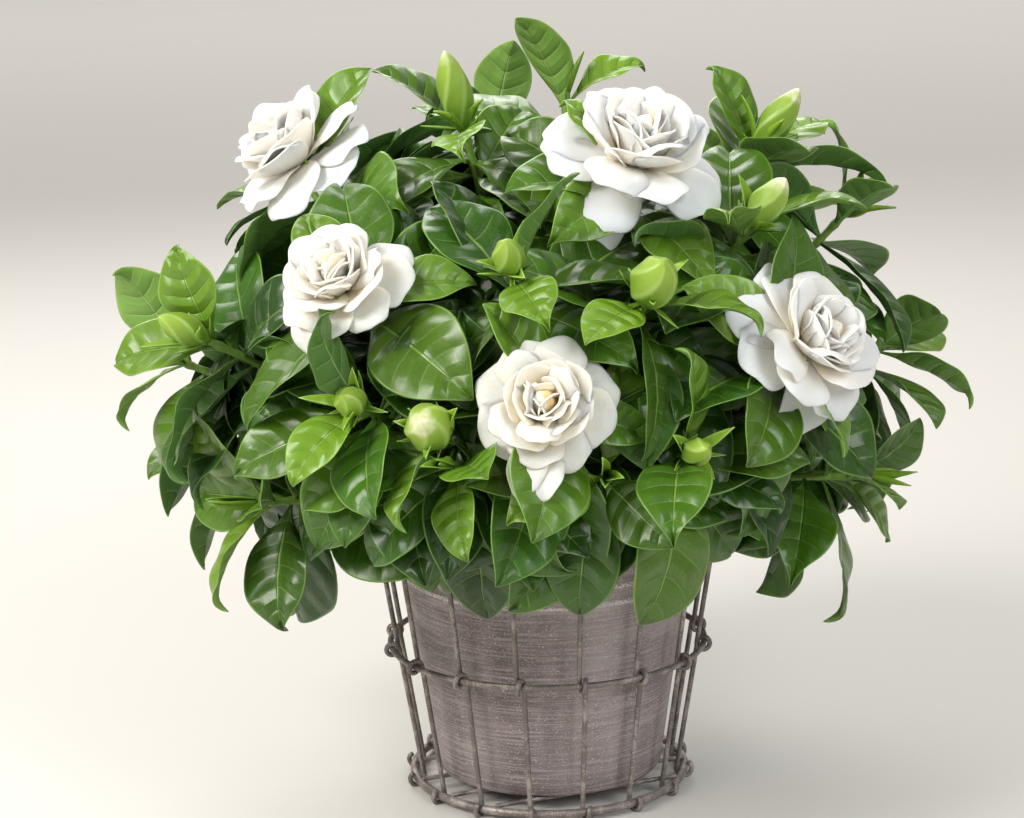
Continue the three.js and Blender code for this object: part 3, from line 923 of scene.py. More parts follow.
# %% Trunk, limbs and twigs
stick_length = 100
stick_sides = 10
trunk_depth = 45
past_fork = 5
limb_radius = 6
twig_radius = 3.4
knotty = [(1, 0), (0.9, 14), (0.94, 22), (0.83, 31), (0.8, 55), (0.86, 63), (0.74, 71), (0.7, stick_length)]
stick = raise_walls("stick", knotty, stick_sides)
uneven(stick, depth=0.12)
stick.data.materials.append(bark_material)


def between(start, end, radius):
    """The matrix that stretches the stick, whose radius is 1 mm, between two points."""
    way = end - start
    turn = Vector((0, 0, 1)).rotation_difference(way).to_matrix().to_4x4()
    size = Matrix.Diagonal((radius, radius, way.length / stick_length, 1))
    return Matrix.Translation(start * MM) @ turn @ size


trunk_top = fork + Vector((0, 0, past_fork))
wood = [copy_of(stick, "trunk", between(above_soil(-trunk_depth), trunk_top, trunk_radius))]
wood += [copy_of(stick, "limb", between(fork, end, limb_radius)) for end in limb_ends]
for shoot in shoots:
    root = shoot["twig_root"]
    wood.append(copy_of(stick, "twig", between(root, shoot["foot"] + shoot["axis"] * 2, twig_radius)))
branches = take_place(join("woody_branches", wood), "bark", "branches")
put_away(stick)
print(len(wood), "branches joined,", count_triangles(branches), "triangles")

# %% [markdown]
# ## How a leaf shows its veins
#
# A gardenia leaf is dark, waxy and quilted: the blade bulges between its pairs of side veins, and
# midrib, veins and edge are paler, the edge partly as painted rim light. The model leaf's own map
# says where we are on it, because the leaf gets that map as a flat grid, before it is shaped: U runs
# across it with the midrib at 0.5, and V runs from stalk to tip. Veins are then plain lines in that
# map. Upper side and underside share the drawing and differ in colour and shine, so the drawing is a
# node group.
#
# Each leaf also carries three numbers of its own in an attribute called `tone`: how young it is,
# a random shade and how deep it sits in the crown. Youth makes a leaf paler, and on high shoots that
# is partly painted light; depth darkens a leaf as painted shade.

# %% Sockets and lines of the leaf drawing
leaf_rows = 12
vein_pairs = leaf_rows / 2


def leaf_sockets(group):
    """Opens the group's sockets and returns those that bring values in."""
    face = group.interface
    for name in ("Old", "Middle", "Young", "Vein"):
        face.new_socket(name, in_out="INPUT", socket_type="NodeSocketColor")
    face.new_socket("Vein strength", in_out="INPUT", socket_type="NodeSocketFloat")
    outputs = {"Colour": "NodeSocketColor", "Height": "NodeSocketFloat", "Dryness": "NodeSocketFloat"}
    for name, kind in outputs.items():
        face.new_socket(name, in_out="OUTPUT", socket_type=kind)
    return add_node(group, "NodeGroupInput").outputs


def leaf_lines(group, place):
    """How far off the midrib and the side veins we are, and the lines of midrib, veins and fine net."""
    flat = add_node(group, "ShaderNodeUVMap", {"uv_map": "UVMap"}).outputs[0]
    across, along = add_node(group, "ShaderNodeSeparateXYZ", None, Vector=flat).outputs[:2]
    off_rib = sums(group, "ABSOLUTE", sums(group, "MULTIPLY_ADD", across, 2.0, -1.0))
    wander = noise(group, place, 90.0, 2.0)
    row = sums(group, "MULTIPLY_ADD", along, vein_pairs, sums(group, "MULTIPLY", wander, 0.16))
    saw = sums(group, "FRACT", row)
    off_vein = sums(group, "SUBTRACT", 0.5, sums(group, "ABSOLUTE", sums(group, "SUBTRACT", saw, 0.5)))
    rib = ramp(group, off_rib, 0.055, 0.02)
    vein = ramp(group, off_vein, 0.05, 0.012)
    vein = sums(group, "MULTIPLY", vein, ramp(group, off_rib, 0.97, 0.6))
    stretch = add_node(group, "ShaderNodeVectorMath", {"operation": "MULTIPLY"}, i0=flat, i1=(9, 22, 1))
    net = add_node(
        group, "ShaderNodeTexVoronoi", {"feature": "DISTANCE_TO_EDGE"}, Vector=stretch.outputs[0], Scale=1.6
    ).outputs["Distance"]
    return off_rib, off_vein, rib, vein, ramp(group, net, 0.09, 0.0)


print("a leaf is drawn with", leaf_rows, "rows, two to each pair of side veins")

# %% The leaf drawing group
def leaf_group():
    group = bpy.data.node_groups.new("Leaf drawing", "ShaderNodeTree")
    given = leaf_sockets(group)
    place = add_node(group, "ShaderNodeTexCoord").outputs["Object"]
    off_rib, off_vein, rib, vein, net_line = leaf_lines(group, place)
    youth, chance, depth = tones(group)

    blotch = noise(group, place, 28.0, 3.0)
    blotched = sums(group, "MULTIPLY_ADD", blotch, 0.5, -0.14)
    shade = sums(group, "MULTIPLY_ADD", chance, 0.78, blotched, clamp=True)
    grown = mix_colour(group, shade, given["Old"], given["Middle"])
    blade = mix_colour(group, youth, grown, given["Young"])
    # The margin is paler: partly its own pale edge, partly painted rim light where light shines through it.
    pale_margin_and_rim_light = sums(group, "MULTIPLY", ramp(group, off_rib, 0.90, 1.0), 0.22)
    blade = mix_colour(group, pale_margin_and_rim_light, blade, given["Vein"])
    netted = mix_colour(group, sums(group, "MULTIPLY", net_line, 0.10), blade, given["Vein"])
    veined_by = sums(group, "MULTIPLY", sums(group, "MULTIPLY", vein, 0.5), given["Vein strength"])
    veined = mix_colour(group, veined_by, netted, given["Vein"])
    ribbed = mix_colour(group, sums(group, "MULTIPLY", rib, given["Vein strength"]), veined, given["Vein"])
    # Painted shade: a leaf deep in the crown is darkened towards near-black green by its depth.
    hidden = sums(group, "MULTIPLY", depth, 0.85)
    colour = mix_colour(group, hidden, ribbed, (0.004, 0.012, 0.004, 1))

    bulge = sums(group, "POWER", sums(group, "MULTIPLY", off_vein, 2.0), 0.6)
    quilt = sums(group, "MULTIPLY", bulge, ramp(group, off_rib, 1.0, 0.55))
    height = sums(group, "SUBTRACT", quilt, sums(group, "MULTIPLY", rib, 0.8))
    height = sums(group, "SUBTRACT", height, sums(group, "MULTIPLY", net_line, 0.008))
    dryness = sums(group, "MULTIPLY_ADD", blotch, 0.5, sums(group, "MULTIPLY", vein, 0.2))
    add_node(group, "NodeGroupOutput", None, Colour=colour, Height=height, Dryness=dryness)
    return group


leaf_drawing = leaf_group()
print("leaf drawing:", len(leaf_drawing.nodes), "nodes")

# %% Upper side, underside and edge of a leaf
def leaf_side(name, colours, vein_strength, relief, driest, **constants):
    material, tree, shader = new_material(name, **constants)
    drawing = add_node(tree, "ShaderNodeGroup", {"node_tree": leaf_drawing}, Vein_strength=vein_strength)
    for socket, value in colours.items():
        drawing.inputs[socket].default_value = (*value, 1)
    rough = sums(tree, "MULTIPLY_ADD", drawing.outputs["Dryness"], 0.3, driest - 0.3)
    paint(tree, shader, drawing.outputs["Colour"], rough)
    bump_into(tree, shader, drawing.outputs["Height"], relief, 0.002)
    return material


upper_side = leaf_side(
    "leaf_upper_side",
    {
        "Old": (0.006, 0.034, 0.003),
        "Middle": (0.045, 0.142, 0.007),
        "Young": (0.220, 0.400, 0.020),
        "Vein": (0.250, 0.430, 0.080),
    },
    vein_strength=0.55, relief=0.8, driest=0.54,
    Specular_IOR_Level=0.45, Coat_Weight=0.18, Coat_Roughness=0.22,
)
underside = leaf_side(
    "leaf_underside",
    {
        "Old": (0.075, 0.175, 0.045),
        "Middle": (0.110, 0.250, 0.055),
        "Young": (0.250, 0.430, 0.070),
        "Vein": (0.330, 0.480, 0.170),
    },
    vein_strength=0.8, relief=0.7, driest=0.72,
    Specular_IOR_Level=0.35,
)
# The rim faces are paler than the blade: partly a pale margin, partly painted rim light.
pale_and_lit_leaf_edge = leaf_side(
    "pale_and_lit_leaf_edge",
    {
        "Old": (0.060, 0.170, 0.020),
        "Middle": (0.120, 0.280, 0.035),
        "Young": (0.330, 0.530, 0.070),
        "Vein": (0.360, 0.540, 0.160),
    },
    vein_strength=0.3, relief=0.2, driest=0.55,
    Specular_IOR_Level=0.5,
)
leaf_materials = [upper_side, underside, pale_and_lit_leaf_edge]
print("leaf materials:", [material.name for material in leaf_materials])

# %% [markdown]
# ## The model leaf
#
# Hundreds of leaves share one shape, so it is modelled once, flat, and has only six faces across
# and twelve along. It starts as a grid. Each row is resized to the leaf's outline, the outer
# columns are pushed towards the tip, because side veins leave the midrib at a slant, and then the
# relief goes in: the midrib sinks, every second row stays down as a vein, the rows between them
# bulge, and the edge waves. Three model leaves with other waves and widths keep the plant from
# looking stamped.

# %% Helpers for a flat blade
def flat_grid(columns, rows, width, length):
    """A flat grid in edit mode, in millimetres, from the origin along +Y."""
    deselect_all()
    bpy.ops.mesh.primitive_grid_add(
        x_subdivisions=columns, y_subdivisions=rows, size=length * MM, location=(0, length * MM / 2, 0)
    )
    grid = bpy.context.object
    bpy.ops.object.transform_apply(location=True, rotation=True, scale=True)
    bpy.ops.object.mode_set(mode="EDIT")
    bpy.ops.mesh.select_all(action="SELECT")
    bpy.ops.transform.resize(value=(width / length, 1, 1), center_override=(0, 0, 0))
    return grid


row_reach = 0.1 * MM
column_reach = 0.04 * MM


def shape_blade(grid, columns, rows, width, length, outline, relief):
    """Resizes each row to the outline and moves each vertex by relief(share across, share along).

    It works from the tip to the root, so that a row moved towards the tip meets none still to come.
    """
    for row in reversed(range(rows + 1)):
        y = length * MM * row / rows
        pick(grid, lambda place: abs(place.y - y) < row_reach)
        bpy.ops.transform.resize(value=(outline[row], 1, 1), center_override=(0, y, 0))
        for column in range(columns + 1):
            share = 2 * column / columns - 1
            x = share * width * MM / 2 * outline[row]
            pick(grid, lambda place: abs(place.y - y) < row_reach and abs(place.x - x) < column_reach)
            forward, rise = relief(share, row / rows)
            bpy.ops.transform.translate(value=(0, forward * MM, rise * MM))


print("flat blades ready")

# %% Shape three model leaves
leaf_columns = 6
leaf_outline = [0.05, 0.19, 0.50, 0.78, 0.94, 1.0, 0.97, 0.87, 0.72, 0.53, 0.32, 0.13, 0.01]
side_slant = 12.0
quilt_height = 2.8
vein_depth = 1.1
rib_depth = 1.5
tip_hook = 3.5
hook_start = 0.75


def leaf_relief(number, wave):
    """The relief of one model leaf, in millimetres, as a function for shape_blade."""
    def relief(share, along):
        off = abs(share)
        middle = math.sin(math.pi * along)
        forward = side_slant * off**1.25 * middle**0.7
        row = round(along * leaf_rows)
        bulge = (quilt_height if row % 2 else -vein_depth) * math.sin(math.pi * off) * middle
        groove = -rib_depth * (1 - 0.5 * along) if off < 0.1 else 0
        phase = 2.3 * along + 0.31 * number + (0.4 if share > 0 else 0)
        ripple = wave * off**3 * math.sin(2 * math.pi * phase) * middle
        hooked = -tip_hook * (max(0, along - hook_start) / (1 - hook_start)) ** 2
        return forward, bulge + groove + ripple + hooked

    return relief


def model_leaf(number, wave, fullness):
    leaf = flat_grid(leaf_columns, leaf_rows, leaf_width, leaf_length)
    outline = [share**fullness for share in leaf_outline]
    shape_blade(leaf, leaf_columns, leaf_rows, leaf_width, leaf_length, outline, leaf_relief(number, wave))
    finish(leaf, f"model_leaf_{number}")
    for material in leaf_materials:
        leaf.data.materials.append(material)
    return leaf


leaf_models = [
    model_leaf(0, wave=1.6, fullness=1.0),
    model_leaf(1, wave=2.4, fullness=1.15),
    model_leaf(2, wave=1.2, fullness=0.95),
]
for leaf in leaf_models:
    print(leaf.name, len(leaf.data.polygons), "faces", [round(v / MM, 1) for v in leaf.dimensions], "mm")

# %% [markdown]
# ## Laying a flat blade on its arch
#
# No two leaves arch, fold or twist alike. In the viewport that would be a Simple Deform modifier
# for each of them, set by eye. Here the plan gives each leaf its own numbers, so `lay` moves the
# vertices of a copy by the plan's formula: the rib follows a circular arc, the blade turns about
# the rib by its twist, and its two halves fold up. Petals use the same arc, but their halves curl
# round instead of folding, and their rims roll back and ruffle.

# %% Lay a blade on its arch
def flat_places(model, width, length):
    """Each vertex as share across (-1 to 1 at full width), share along and height in millimetres."""
    places = np.zeros(len(model.data.vertices) * 3, np.float32)
    model.data.vertices.foreach_get("co", places)
    return places.reshape(-1, 3).astype(float) / MM / (width / 2, length, 1)


def lay(plan, flat):
    """The flat places bent to the plan, in metres."""
    across, s, height = flat[:, :1], flat[:, 1:2], flat[:, 2:] * plan.get("relief", 1)
    along, face = np.array(plan["along"]), np.array(plan["face"])
    arc = plan["bend"] * s
    tangent = np.cos(arc) * along - np.sin(arc) * face
    level = np.cross(along, face)
    twist = plan.get("twist", 0) * s
    side = np.cos(twist) * level + np.sin(twist) * np.cross(tangent, level)
    normal = np.cross(side, tangent)
    rib = np.sin(arc) / plan["bend"] * along - (1 - np.cos(arc)) / plan["bend"] * face
    wide = across * plan["width"] / 2
    if "curl" in plan:
        # A petal curls most a little past its middle. Its rim rolls back and ruffles.
        curl = plan["curl"] * np.minimum(1, 0.35 + s) * (1 - 0.8 * np.maximum(0, s - 0.6))
        reach = plan["width"] / 2 / curl
        wide, lift = reach * np.sin(across * curl), reach * (1 - np.cos(across * curl))
        rim = np.sqrt(across**2 + (np.maximum(0, s - 0.5) / 0.5) ** 2)
        ruffle = plan["ruffle"] * np.sin(plan["phase"] + 5 * np.arctan2(across, s - 0.2))
        lift = lift - (plan["roll_back"] + ruffle) * np.maximum(0, rim - 0.55) ** 2 / 0.2
    else:
        # A leaf folds up along its midrib, its edge waves and its tip may droop.
        lift = np.abs(wide) * math.sin(plan["fold"])
        wide = wide * math.cos(plan["fold"])
        wave = plan.get("wave", 0) * np.sin(plan.get("phase", 0) + 7 * s) * across**2 * np.sin(math.pi * s)
        lift = lift + wave - plan.get("droop", 0) * np.maximum(0, s - 0.6) ** 2
    points = np.array(plan["root"]) + plan["length"] * rib + side * wide + normal * (height + lift)
    return points * MM


leaf_flats = [flat_places(leaf, leaf_width, leaf_length) for leaf in leaf_models]
print("laying ready for", len(leaf_flats), "model leaves")

# %% Copy a blade, lay it and give it its tone
def paint_tone(piece, red, green, blue):
    """Gives each vertex the piece's three numbers; each is a number or an array."""
    count = len(piece.data.vertices)
    tone = np.ones((count, 4), np.float32)
    for column, value in enumerate((red, green, blue)):
        tone[:, column] = value
    attribute = piece.data.attributes.new("tone", "FLOAT_COLOR", "POINT")
    attribute.data.foreach_set("color", tone.ravel())


def blade_copy(name, model, flat, plan, tone):
    twin = copy_of(model, name)
    twin.data.vertices.foreach_set("co", lay(plan, flat).astype(np.float32).ravel())
    twin.data.update()
    paint_tone(twin, *tone)
    return twin


print("each copy gets its own mesh, arch and tone")

# %% [markdown]
# ## Each leaf's plan
#
# Leaves stand in whorls of three down a gardenia shoot, small and steep at the tip, large and flat
# further down. The plan varies each by seeded draws and then leans it until it is clear of its
# neighbours. That lean isn't written down anywhere, but the leaf's tip is a vertex of the CAD node,
# so we try the same leans in the same order and keep the one whose tip is found there.

# %% Plan of one leaf
whorls = [
    {"count": 3, "below": 7, "lift": 36, "size": 0.75, "bend": 0.6, "sag": 0.05},
    {"count": 3, "below": 20, "lift": 64, "size": 0.97, "bend": 0.7, "sag": 0.15},
    {"count": 3, "below": 40, "lift": 86, "size": 1.04, "bend": 0.6, "sag": 0.2},
]


def out_of(shoot, turn, lift):
    """The way that leans out of a shoot's axis by lift degrees, towards turn degrees round it."""
    turn, lift = math.radians(turn), math.radians(lift)
    radial = shoot["sides"][0] * math.cos(turn) + shoot["sides"][1] * math.sin(turn)
    return radial, shoot["axis"] * math.cos(lift) + radial * math.sin(lift)


def square_to(along, wanted):
    return (wanted - along * wanted.dot(along)).normalized()


def leaf_plan(shoot, whorl, whorl_number, leaf_number, lean):
    counter = 4 * whorl_number + leaf_number

    def vary(middle, reach, what):
        return spread(middle, reach, shoot["number"] + 1, counter + 1, what)

    lean_lift, lean_turn, lean_size = lean
    share = 360 * leaf_number / whorl["count"]
    turn = vary(share + 60 * whorl_number + 37 * shoot["number"], 14, 1) + lean_turn
    lift = vary(whorl["lift"], 10, 2) + lean_lift
    size = vary(whorl["size"], 0.12, 3) * lean_size
    radial, along = out_of(shoot, turn, lift)
    along = (along - Vector((0, 0, vary(whorl["sag"], 0.12, 4)))).normalized()
    skew = Vector((vary(0, 0.8, 9), vary(0, 0.8, 10), vary(0.4, 0.5, 11)))
    return {
        "root": shoot["tip"] - shoot["axis"] * (whorl["below"] + 2 * leaf_number) + radial * 0.4,
        "along": along,
        "face": square_to(along, shoot["axis"] + skew),
        "length": leaf_length * size,
        "width": leaf_width * size * vary(1, 0.1, 5),
        "bend": vary(whorl["bend"], 0.3, 6),
        "fold": vary(0.22, 0.12, 7),
        "twist": vary(0, 0.35, 8),
        "relief": size,
        "wave": vary(0, 1.6, 12),
        "phase": vary(0, 3, 13),
        "counter": counter,
    }


def blade_tip(plan):
    arc = plan["bend"]
    rise = plan["along"] * math.sin(arc) - plan["face"] * (1 - math.cos(arc))
    return plan["root"] + rise * plan["length"] / arc


print(len(whorls), "whorls of", whorls[0]["count"], "leaves on a leafy shoot")

# %% Find every leaf of the plan
young_leaves_by_flower = 2
lean_sizes = (1, 0.84)
lean_reaches = (9, 18, 28, 40)
lean_ways = 8
tip_tolerance = 0.05
leans = [(0, 0, 1)]
for size in lean_sizes:
    for reach in lean_reaches:
        for way in range(lean_ways):
            turn = 2 * math.pi * way / lean_ways
            leans.append((reach * math.cos(turn), reach * math.sin(turn), size))


def corners_of(node):
    places = KDTree(len(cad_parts[node].data.vertices))
    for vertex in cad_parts[node].data.vertices:
        places.insert(vertex.co, vertex.index)
    places.balance()
    return places


def plans_of(shoot):
    corners = corners_of("shoot_" + shoot["name"])
    plans = []
    for whorl_number, whorl in enumerate(whorls):
        for leaf_number in range(whorl["count"]):
            beside_flower = whorl_number == 0 and ("bloom" in shoot or "bud" in shoot)
            if beside_flower and leaf_number >= young_leaves_by_flower:
                continue
            for lean in leans:
                plan = leaf_plan(shoot, whorl, whorl_number, leaf_number, lean)
                if corners.find(blade_tip(plan) * MM)[2] < tip_tolerance * MM:
                    plans.append(plan)
                    break
    return plans


leaf_plans = {shoot["name"]: plans_of(shoot) for shoot in shoots}
print(sum(len(plans) for plans in leaf_plans.values()), "leaves found in the plan")

# %% [markdown]
# ## Green stems
#
# This year's stem is green and smooth, a little swollen where each whorl of leaves grows, and it
# turns to bark at its foot. One stem is raised at its real length with those swellings, and its
# copies are turned to each shoot. Its `tone` holds the height along the stem, for the blend.

# %% The stem's material and the model stem
def stem_finish():
    material, tree, shader = new_material("green_stem", Roughness=0.5, Specular_IOR_Level=0.4)
    place = stretched(tree, (1, 1, 1))
    height = tones(tree)[0]
    mottle = noise(tree, place, 260.0, 3.0)
    green = mix_colour(tree, mottle, (0.085, 0.185, 0.025, 1), (0.21, 0.35, 0.06, 1))
    brown = mix_colour(tree, mottle, (0.06, 0.045, 0.025, 1), (0.20, 0.15, 0.09, 1))
    woody = ramp(tree, sums(tree, "MULTIPLY_ADD", mottle, 0.3, height), 0.62, 0.28)
    colour = mix_colour(tree, woody, green, brown)
    paint(tree, shader, colour)
    bump_into(tree, shader, mottle, 0.3, 0.0006)
    return material


stem_material = stem_finish()
stem_sides = 8
swollen = [stem_length - 42, stem_length - 22, stem_length - 9]
stem_rings = [(2.4, 0), (2.3, 18), (2.6, 22), (2.25, 27), (2.2, 45)]
for height in swollen:
    stem_rings += [(2.15, height - 4), (2.75, height), (2.15, height + 4)]
stem_rings += [(1.9, stem_length - 1), (1.3, stem_length + 1.2)]
model_stem = raise_walls("model_stem", stem_rings, stem_sides)
model_stem.data.materials.append(stem_material)
stem_heights = flat_places(model_stem, 2, stem_length)[:, 2] / stem_length


def turned_to(shoot, place, size=(1, 1, 1)):
    """The matrix that stands a model on a place of the shoot, its Z along the shoot."""
    turn = Vector((0, 0, 1)).rotation_difference(shoot["axis"]).to_matrix().to_4x4()
    return Matrix.Translation(place * MM) @ turn @ Matrix.Diagonal((*size, 1))


def stem_of(shoot):
    stem = copy_of(model_stem, "stem", turned_to(shoot, shoot["foot"]))
    paint_tone(stem, stem_heights, draw(shoot["number"] + 3, 5), 0)
    return stem


print("model stem:", len(stem_rings), "rings,", count_triangles(model_stem), "triangles")

# %% [markdown]
# ## Narrow young leaves and calyx lobes
#
# At the tip of a growing shoot stand a few folded young leaves, narrow as blades of grass, and
# below each bud and bloom sit the thin lobes of its calyx. All are slivers a few millimetres wide
# and there are about 170 of them, so their model has only two faces across and six along. They are
# smooth, so they get their own finish, in which the leaf drawing has hardly any relief.

# %% Model sliver
sliver_rows = 6
sliver_outline = [0.35, 0.75, 1.0, 1.0, 0.82, 0.5, 0.06]
sliver_width = 8
sliver_length = 40
young_skin = leaf_side(
    "young_leaf_skin",
    {
        "Old": (0.060, 0.170, 0.010),
        "Middle": (0.110, 0.260, 0.014),
        "Young": (0.250, 0.430, 0.030),
        "Vein": (0.300, 0.470, 0.100),
    },
    vein_strength=0.25, relief=0.08, driest=0.55,
    Specular_IOR_Level=0.45,
)
sliver = flat_grid(2, sliver_rows, sliver_width, sliver_length)
shape_blade(
    sliver, 2, sliver_rows, sliver_width, sliver_length, sliver_outline,
    lambda share, along: (0, -0.5 if abs(share) < 0.1 else 0.3 * math.sin(math.pi * along)),
)
finish(sliver, "model_sliver")
for material in (young_skin, young_skin, pale_and_lit_leaf_edge):
    sliver.data.materials.append(material)
sliver_flat = flat_places(sliver, sliver_width, sliver_length)


def sliver_plan(shoot, number, turn, lift, length, width, bend, start):
    radial, along = out_of(shoot, turn, lift)
    return {
        "root": shoot["tip"] + shoot["axis"] * start + radial * 1.2,
        "along": along,
        "face": square_to(along, shoot["axis"] - radial * 0.6),
        "length": length,
        "width": width,
        "bend": bend,
        "fold": 0.55,
        "twist": spread(0, 0.5, shoot["number"] + 1, number + 60, 7),
    }


print("model sliver:", len(sliver.data.polygons), "faces")

# %% Young leaves and calyx lobes of one shoot
young_leaf_count = 3
calyx_lobe_count = 5
lobe_width = 3.2
slim_bud_radius = 7


def young_leaves(shoot):
    """Narrow upright leaves round the tip. A bloom has none."""
    if "bloom" in shoot:
        return []
    blades = []
    for number in range(young_leaf_count):
        def vary(middle, reach, what):
            return spread(middle, reach, shoot["number"] + 1, number + 80, what)

        plan = sliver_plan(
            shoot, number,
            turn=vary(360 * number / young_leaf_count + 23 * shoot["number"], 20, 1),
            lift=vary(30 if "bud" in shoot else 9, 7, 2),
            length=vary(30, 8, 3),
            width=vary(8, 1.5, 4),
            bend=vary(0.3 if "bud" in shoot else -0.15, 0.2, 5),
            start=-3 if "bud" in shoot else -1,
        )
        tone = (vary(0.72, 0.2, 6), draw(number + 3, shoot["number"] + 9), 0)
        blades.append(blade_copy("young_leaf", sliver, sliver_flat, plan, tone))
    return blades


def calyx_of(shoot):
    """Thin lobes that stand off a bud's or a bloom's foot, and lean further out from a plump one."""
    if "bloom" not in shoot and "bud" not in shoot:
        return []
    plump = 2 * max(0, shoot["bud"]["radius"] - slim_bud_radius) if "bud" in shoot else 0
    lobes = []
    for number in range(calyx_lobe_count):
        def vary(middle, reach, what):
            return spread(middle, reach, shoot["number"] + 1, number + 90, what)

        plan = sliver_plan(
            shoot, number,
            turn=360 * number / calyx_lobe_count + vary(0, 12, 1),
            lift=vary(64 + plump, 16, 2),
            length=vary(17, 4, 3) + 0.4 * plump,
            width=lobe_width,
            bend=vary(-0.6, 0.5, 4),
            start=-2,
        )
        tone = (vary(0.6, 0.2, 6), draw(number + 5, shoot["number"] + 2), 0)
        lobes.append(blade_copy("calyx_lobe", sliver, sliver_flat, plan, tone))
    return lobes


print(young_leaf_count, "young leaves on a leafy tip or bud,", calyx_lobe_count, "lobes on a calyx")

# %% [markdown]
# ## Buds
#
# A gardenia bud is a furled flower: its petals wrap round each other, so their edges climb it as
# spiral ridges. The bud is raised from a ring of fifteen sides and each ring is turned a little
# further, which makes the twist. Then every third upright edge is pulled outwards as a ridge. The
# model is 100 mm long and 1 mm in radius, so a copy is scaled by its own bud's radius and length.

# %% The bud's material
def bud_finish():
    material, tree, shader = new_material(
        "bud_skin", Specular_IOR_Level=0.45, Subsurface_Weight=0.12, Subsurface_Scale=0.004
    )
    height, ridge, pale = tones(tree)
    mottle = noise(tree, stretched(tree, (1, 1, 1)), 190.0, 3.0)
    green = mix_colour(tree, height, (0.120, 0.240, 0.020, 1), (0.35, 0.50, 0.055, 1))
    stripe = sums(tree, "MULTIPLY", ramp(tree, ridge, 0.35, 0.9), 0.55)
    striped = mix_colour(tree, stripe, green, (0.46, 0.62, 0.18, 1))
    shaded = mix_colour(tree, sums(tree, "MULTIPLY", mottle, 0.35), striped, (0.10, 0.24, 0.03, 1))
    above = sums(tree, "MULTIPLY_ADD", pale, 1.0, sums(tree, "SUBTRACT", height, 1.2))
    opened = ramp(tree, sums(tree, "MULTIPLY_ADD", mottle, 0.35, above), 0.12, 0.42)
    colour = mix_colour(tree, opened, shaded, (0.86, 0.82, 0.62, 1))
    paint(tree, shader, colour, sums(tree, "MULTIPLY_ADD", mottle, 0.25, 0.3))
    bump_into(tree, shader, mottle, 0.2, 0.0006)
    return material


bud_material = bud_finish()
print("bud skin:", len(bud_material.node_tree.nodes), "nodes")

# %% Model bud
bud_sides = 15
ridge_every = 3
bud_twist = 13
bud_length = 100
ridge_swell = 1.17
ridge_found_at = 1.08
ridge_turn = 6
bud_shape = [
    (0.30, -7), (0.38, 0), (0.55, 6), (0.78, 16), (0.95, 29), (1.0, 41),
    (0.97, 53), (0.87, 65), (0.70, 77), (0.47, 88), (0.22, 96), (0.05, bud_length),
]
bud = raise_walls("model_bud", bud_shape, bud_sides, twist=bud_twist)
bpy.ops.object.mode_set(mode="EDIT")


def on_ridge(place, ring_number):
    angle = math.degrees(math.atan2(place.y, place.x)) - bud_twist * ring_number - 90
    side = (angle / (360 / bud_sides)) % ridge_every
    return min(side, ridge_every - side) < 0.3


def ring_at(height):
    return min(range(len(bud_shape)), key=lambda i: abs(bud_shape[i][1] - height / MM))


def is_ridge(place):
    return place.xy.length > 0.0002 and on_ridge(place, ring_at(place.z))


def stands_out(place):
    """1 on a ridge that has been pulled outwards, 0 elsewhere."""
    radius = bud_shape[ring_at(place.z)][0]
    return float(place.xy.length > ridge_found_at * MM * radius)


for _, height in bud_shape[1:-1]:
    middle = (0, 0, height * MM)
    pick(bud, lambda place: abs(place.z - middle[2]) < 0.5 * MM and is_ridge(place))
    bpy.ops.transform.resize(value=(ridge_swell, ridge_swell, 1), center_override=middle)
    bpy.ops.transform.rotate(value=-math.radians(ridge_turn), orient_axis="Z", center_override=middle)
bpy.ops.object.mode_set(mode="OBJECT")
bud_ridges = np.array([stands_out(vertex.co) for vertex in bud.data.vertices])
bud_heights = np.array([max(0, vertex.co.z / (bud_length * MM)) for vertex in bud.data.vertices])
bud.data.materials.append(bud_material)
paint_tone(bud, bud_heights, bud_ridges, 0)
subdivide(bud)
bud_tone = np.zeros(len(bud.data.vertices) * 4, np.float32)
bud.data.attributes["tone"].data.foreach_get("color", bud_tone)
bud_tone = bud_tone.reshape(-1, 4)
bud.data.attributes.remove(bud.data.attributes["tone"])
print("model bud:", count_triangles(bud), "triangles, ridges on", int(bud_ridges.sum()), "vertices")

# %% Buds that begin to open
bud_opening = {"bud_opening": 0.38, "bud_pale": 0.4, "bud_striped": 0.4, "bud_tall": 0.3}
closed_bud = 0.1


def bud_of(shoot):
    if "bud" not in shoot:
        return []
    length, radius = shoot["bud"]["length"], shoot["bud"]["radius"]
    size = (radius, radius, length / bud_length)
    copy = copy_of(bud, "bud", turned_to(shoot, shoot["tip"], size))
    paint_tone(copy, bud_tone[:, 0], bud_tone[:, 1], bud_opening.get(shoot["name"], closed_bud))
    return [copy]


print(sum("bud" in shoot for shoot in shoots), "buds,", len(bud_opening), "of them showing white")

# %% [markdown]
# ## Inner leaves
#
# The plan keeps the leaves apart and leaves the heart of the crown to this scene. On the real plant
# nobody sees through it, because each shoot carries older, darker leaves lower down. They grow from
# the same stems, below the plan's whorls, and their `tone` says how deep in the shade they lie, which
# darkens them further as painted shade. One more whorl fills the gaps higher up, and the shoots at the
# crown's two sides, beyond 140 mm, get a last one, since they have no neighbours. A leaf that would
# hang over the pot or cover a bloom is left off.

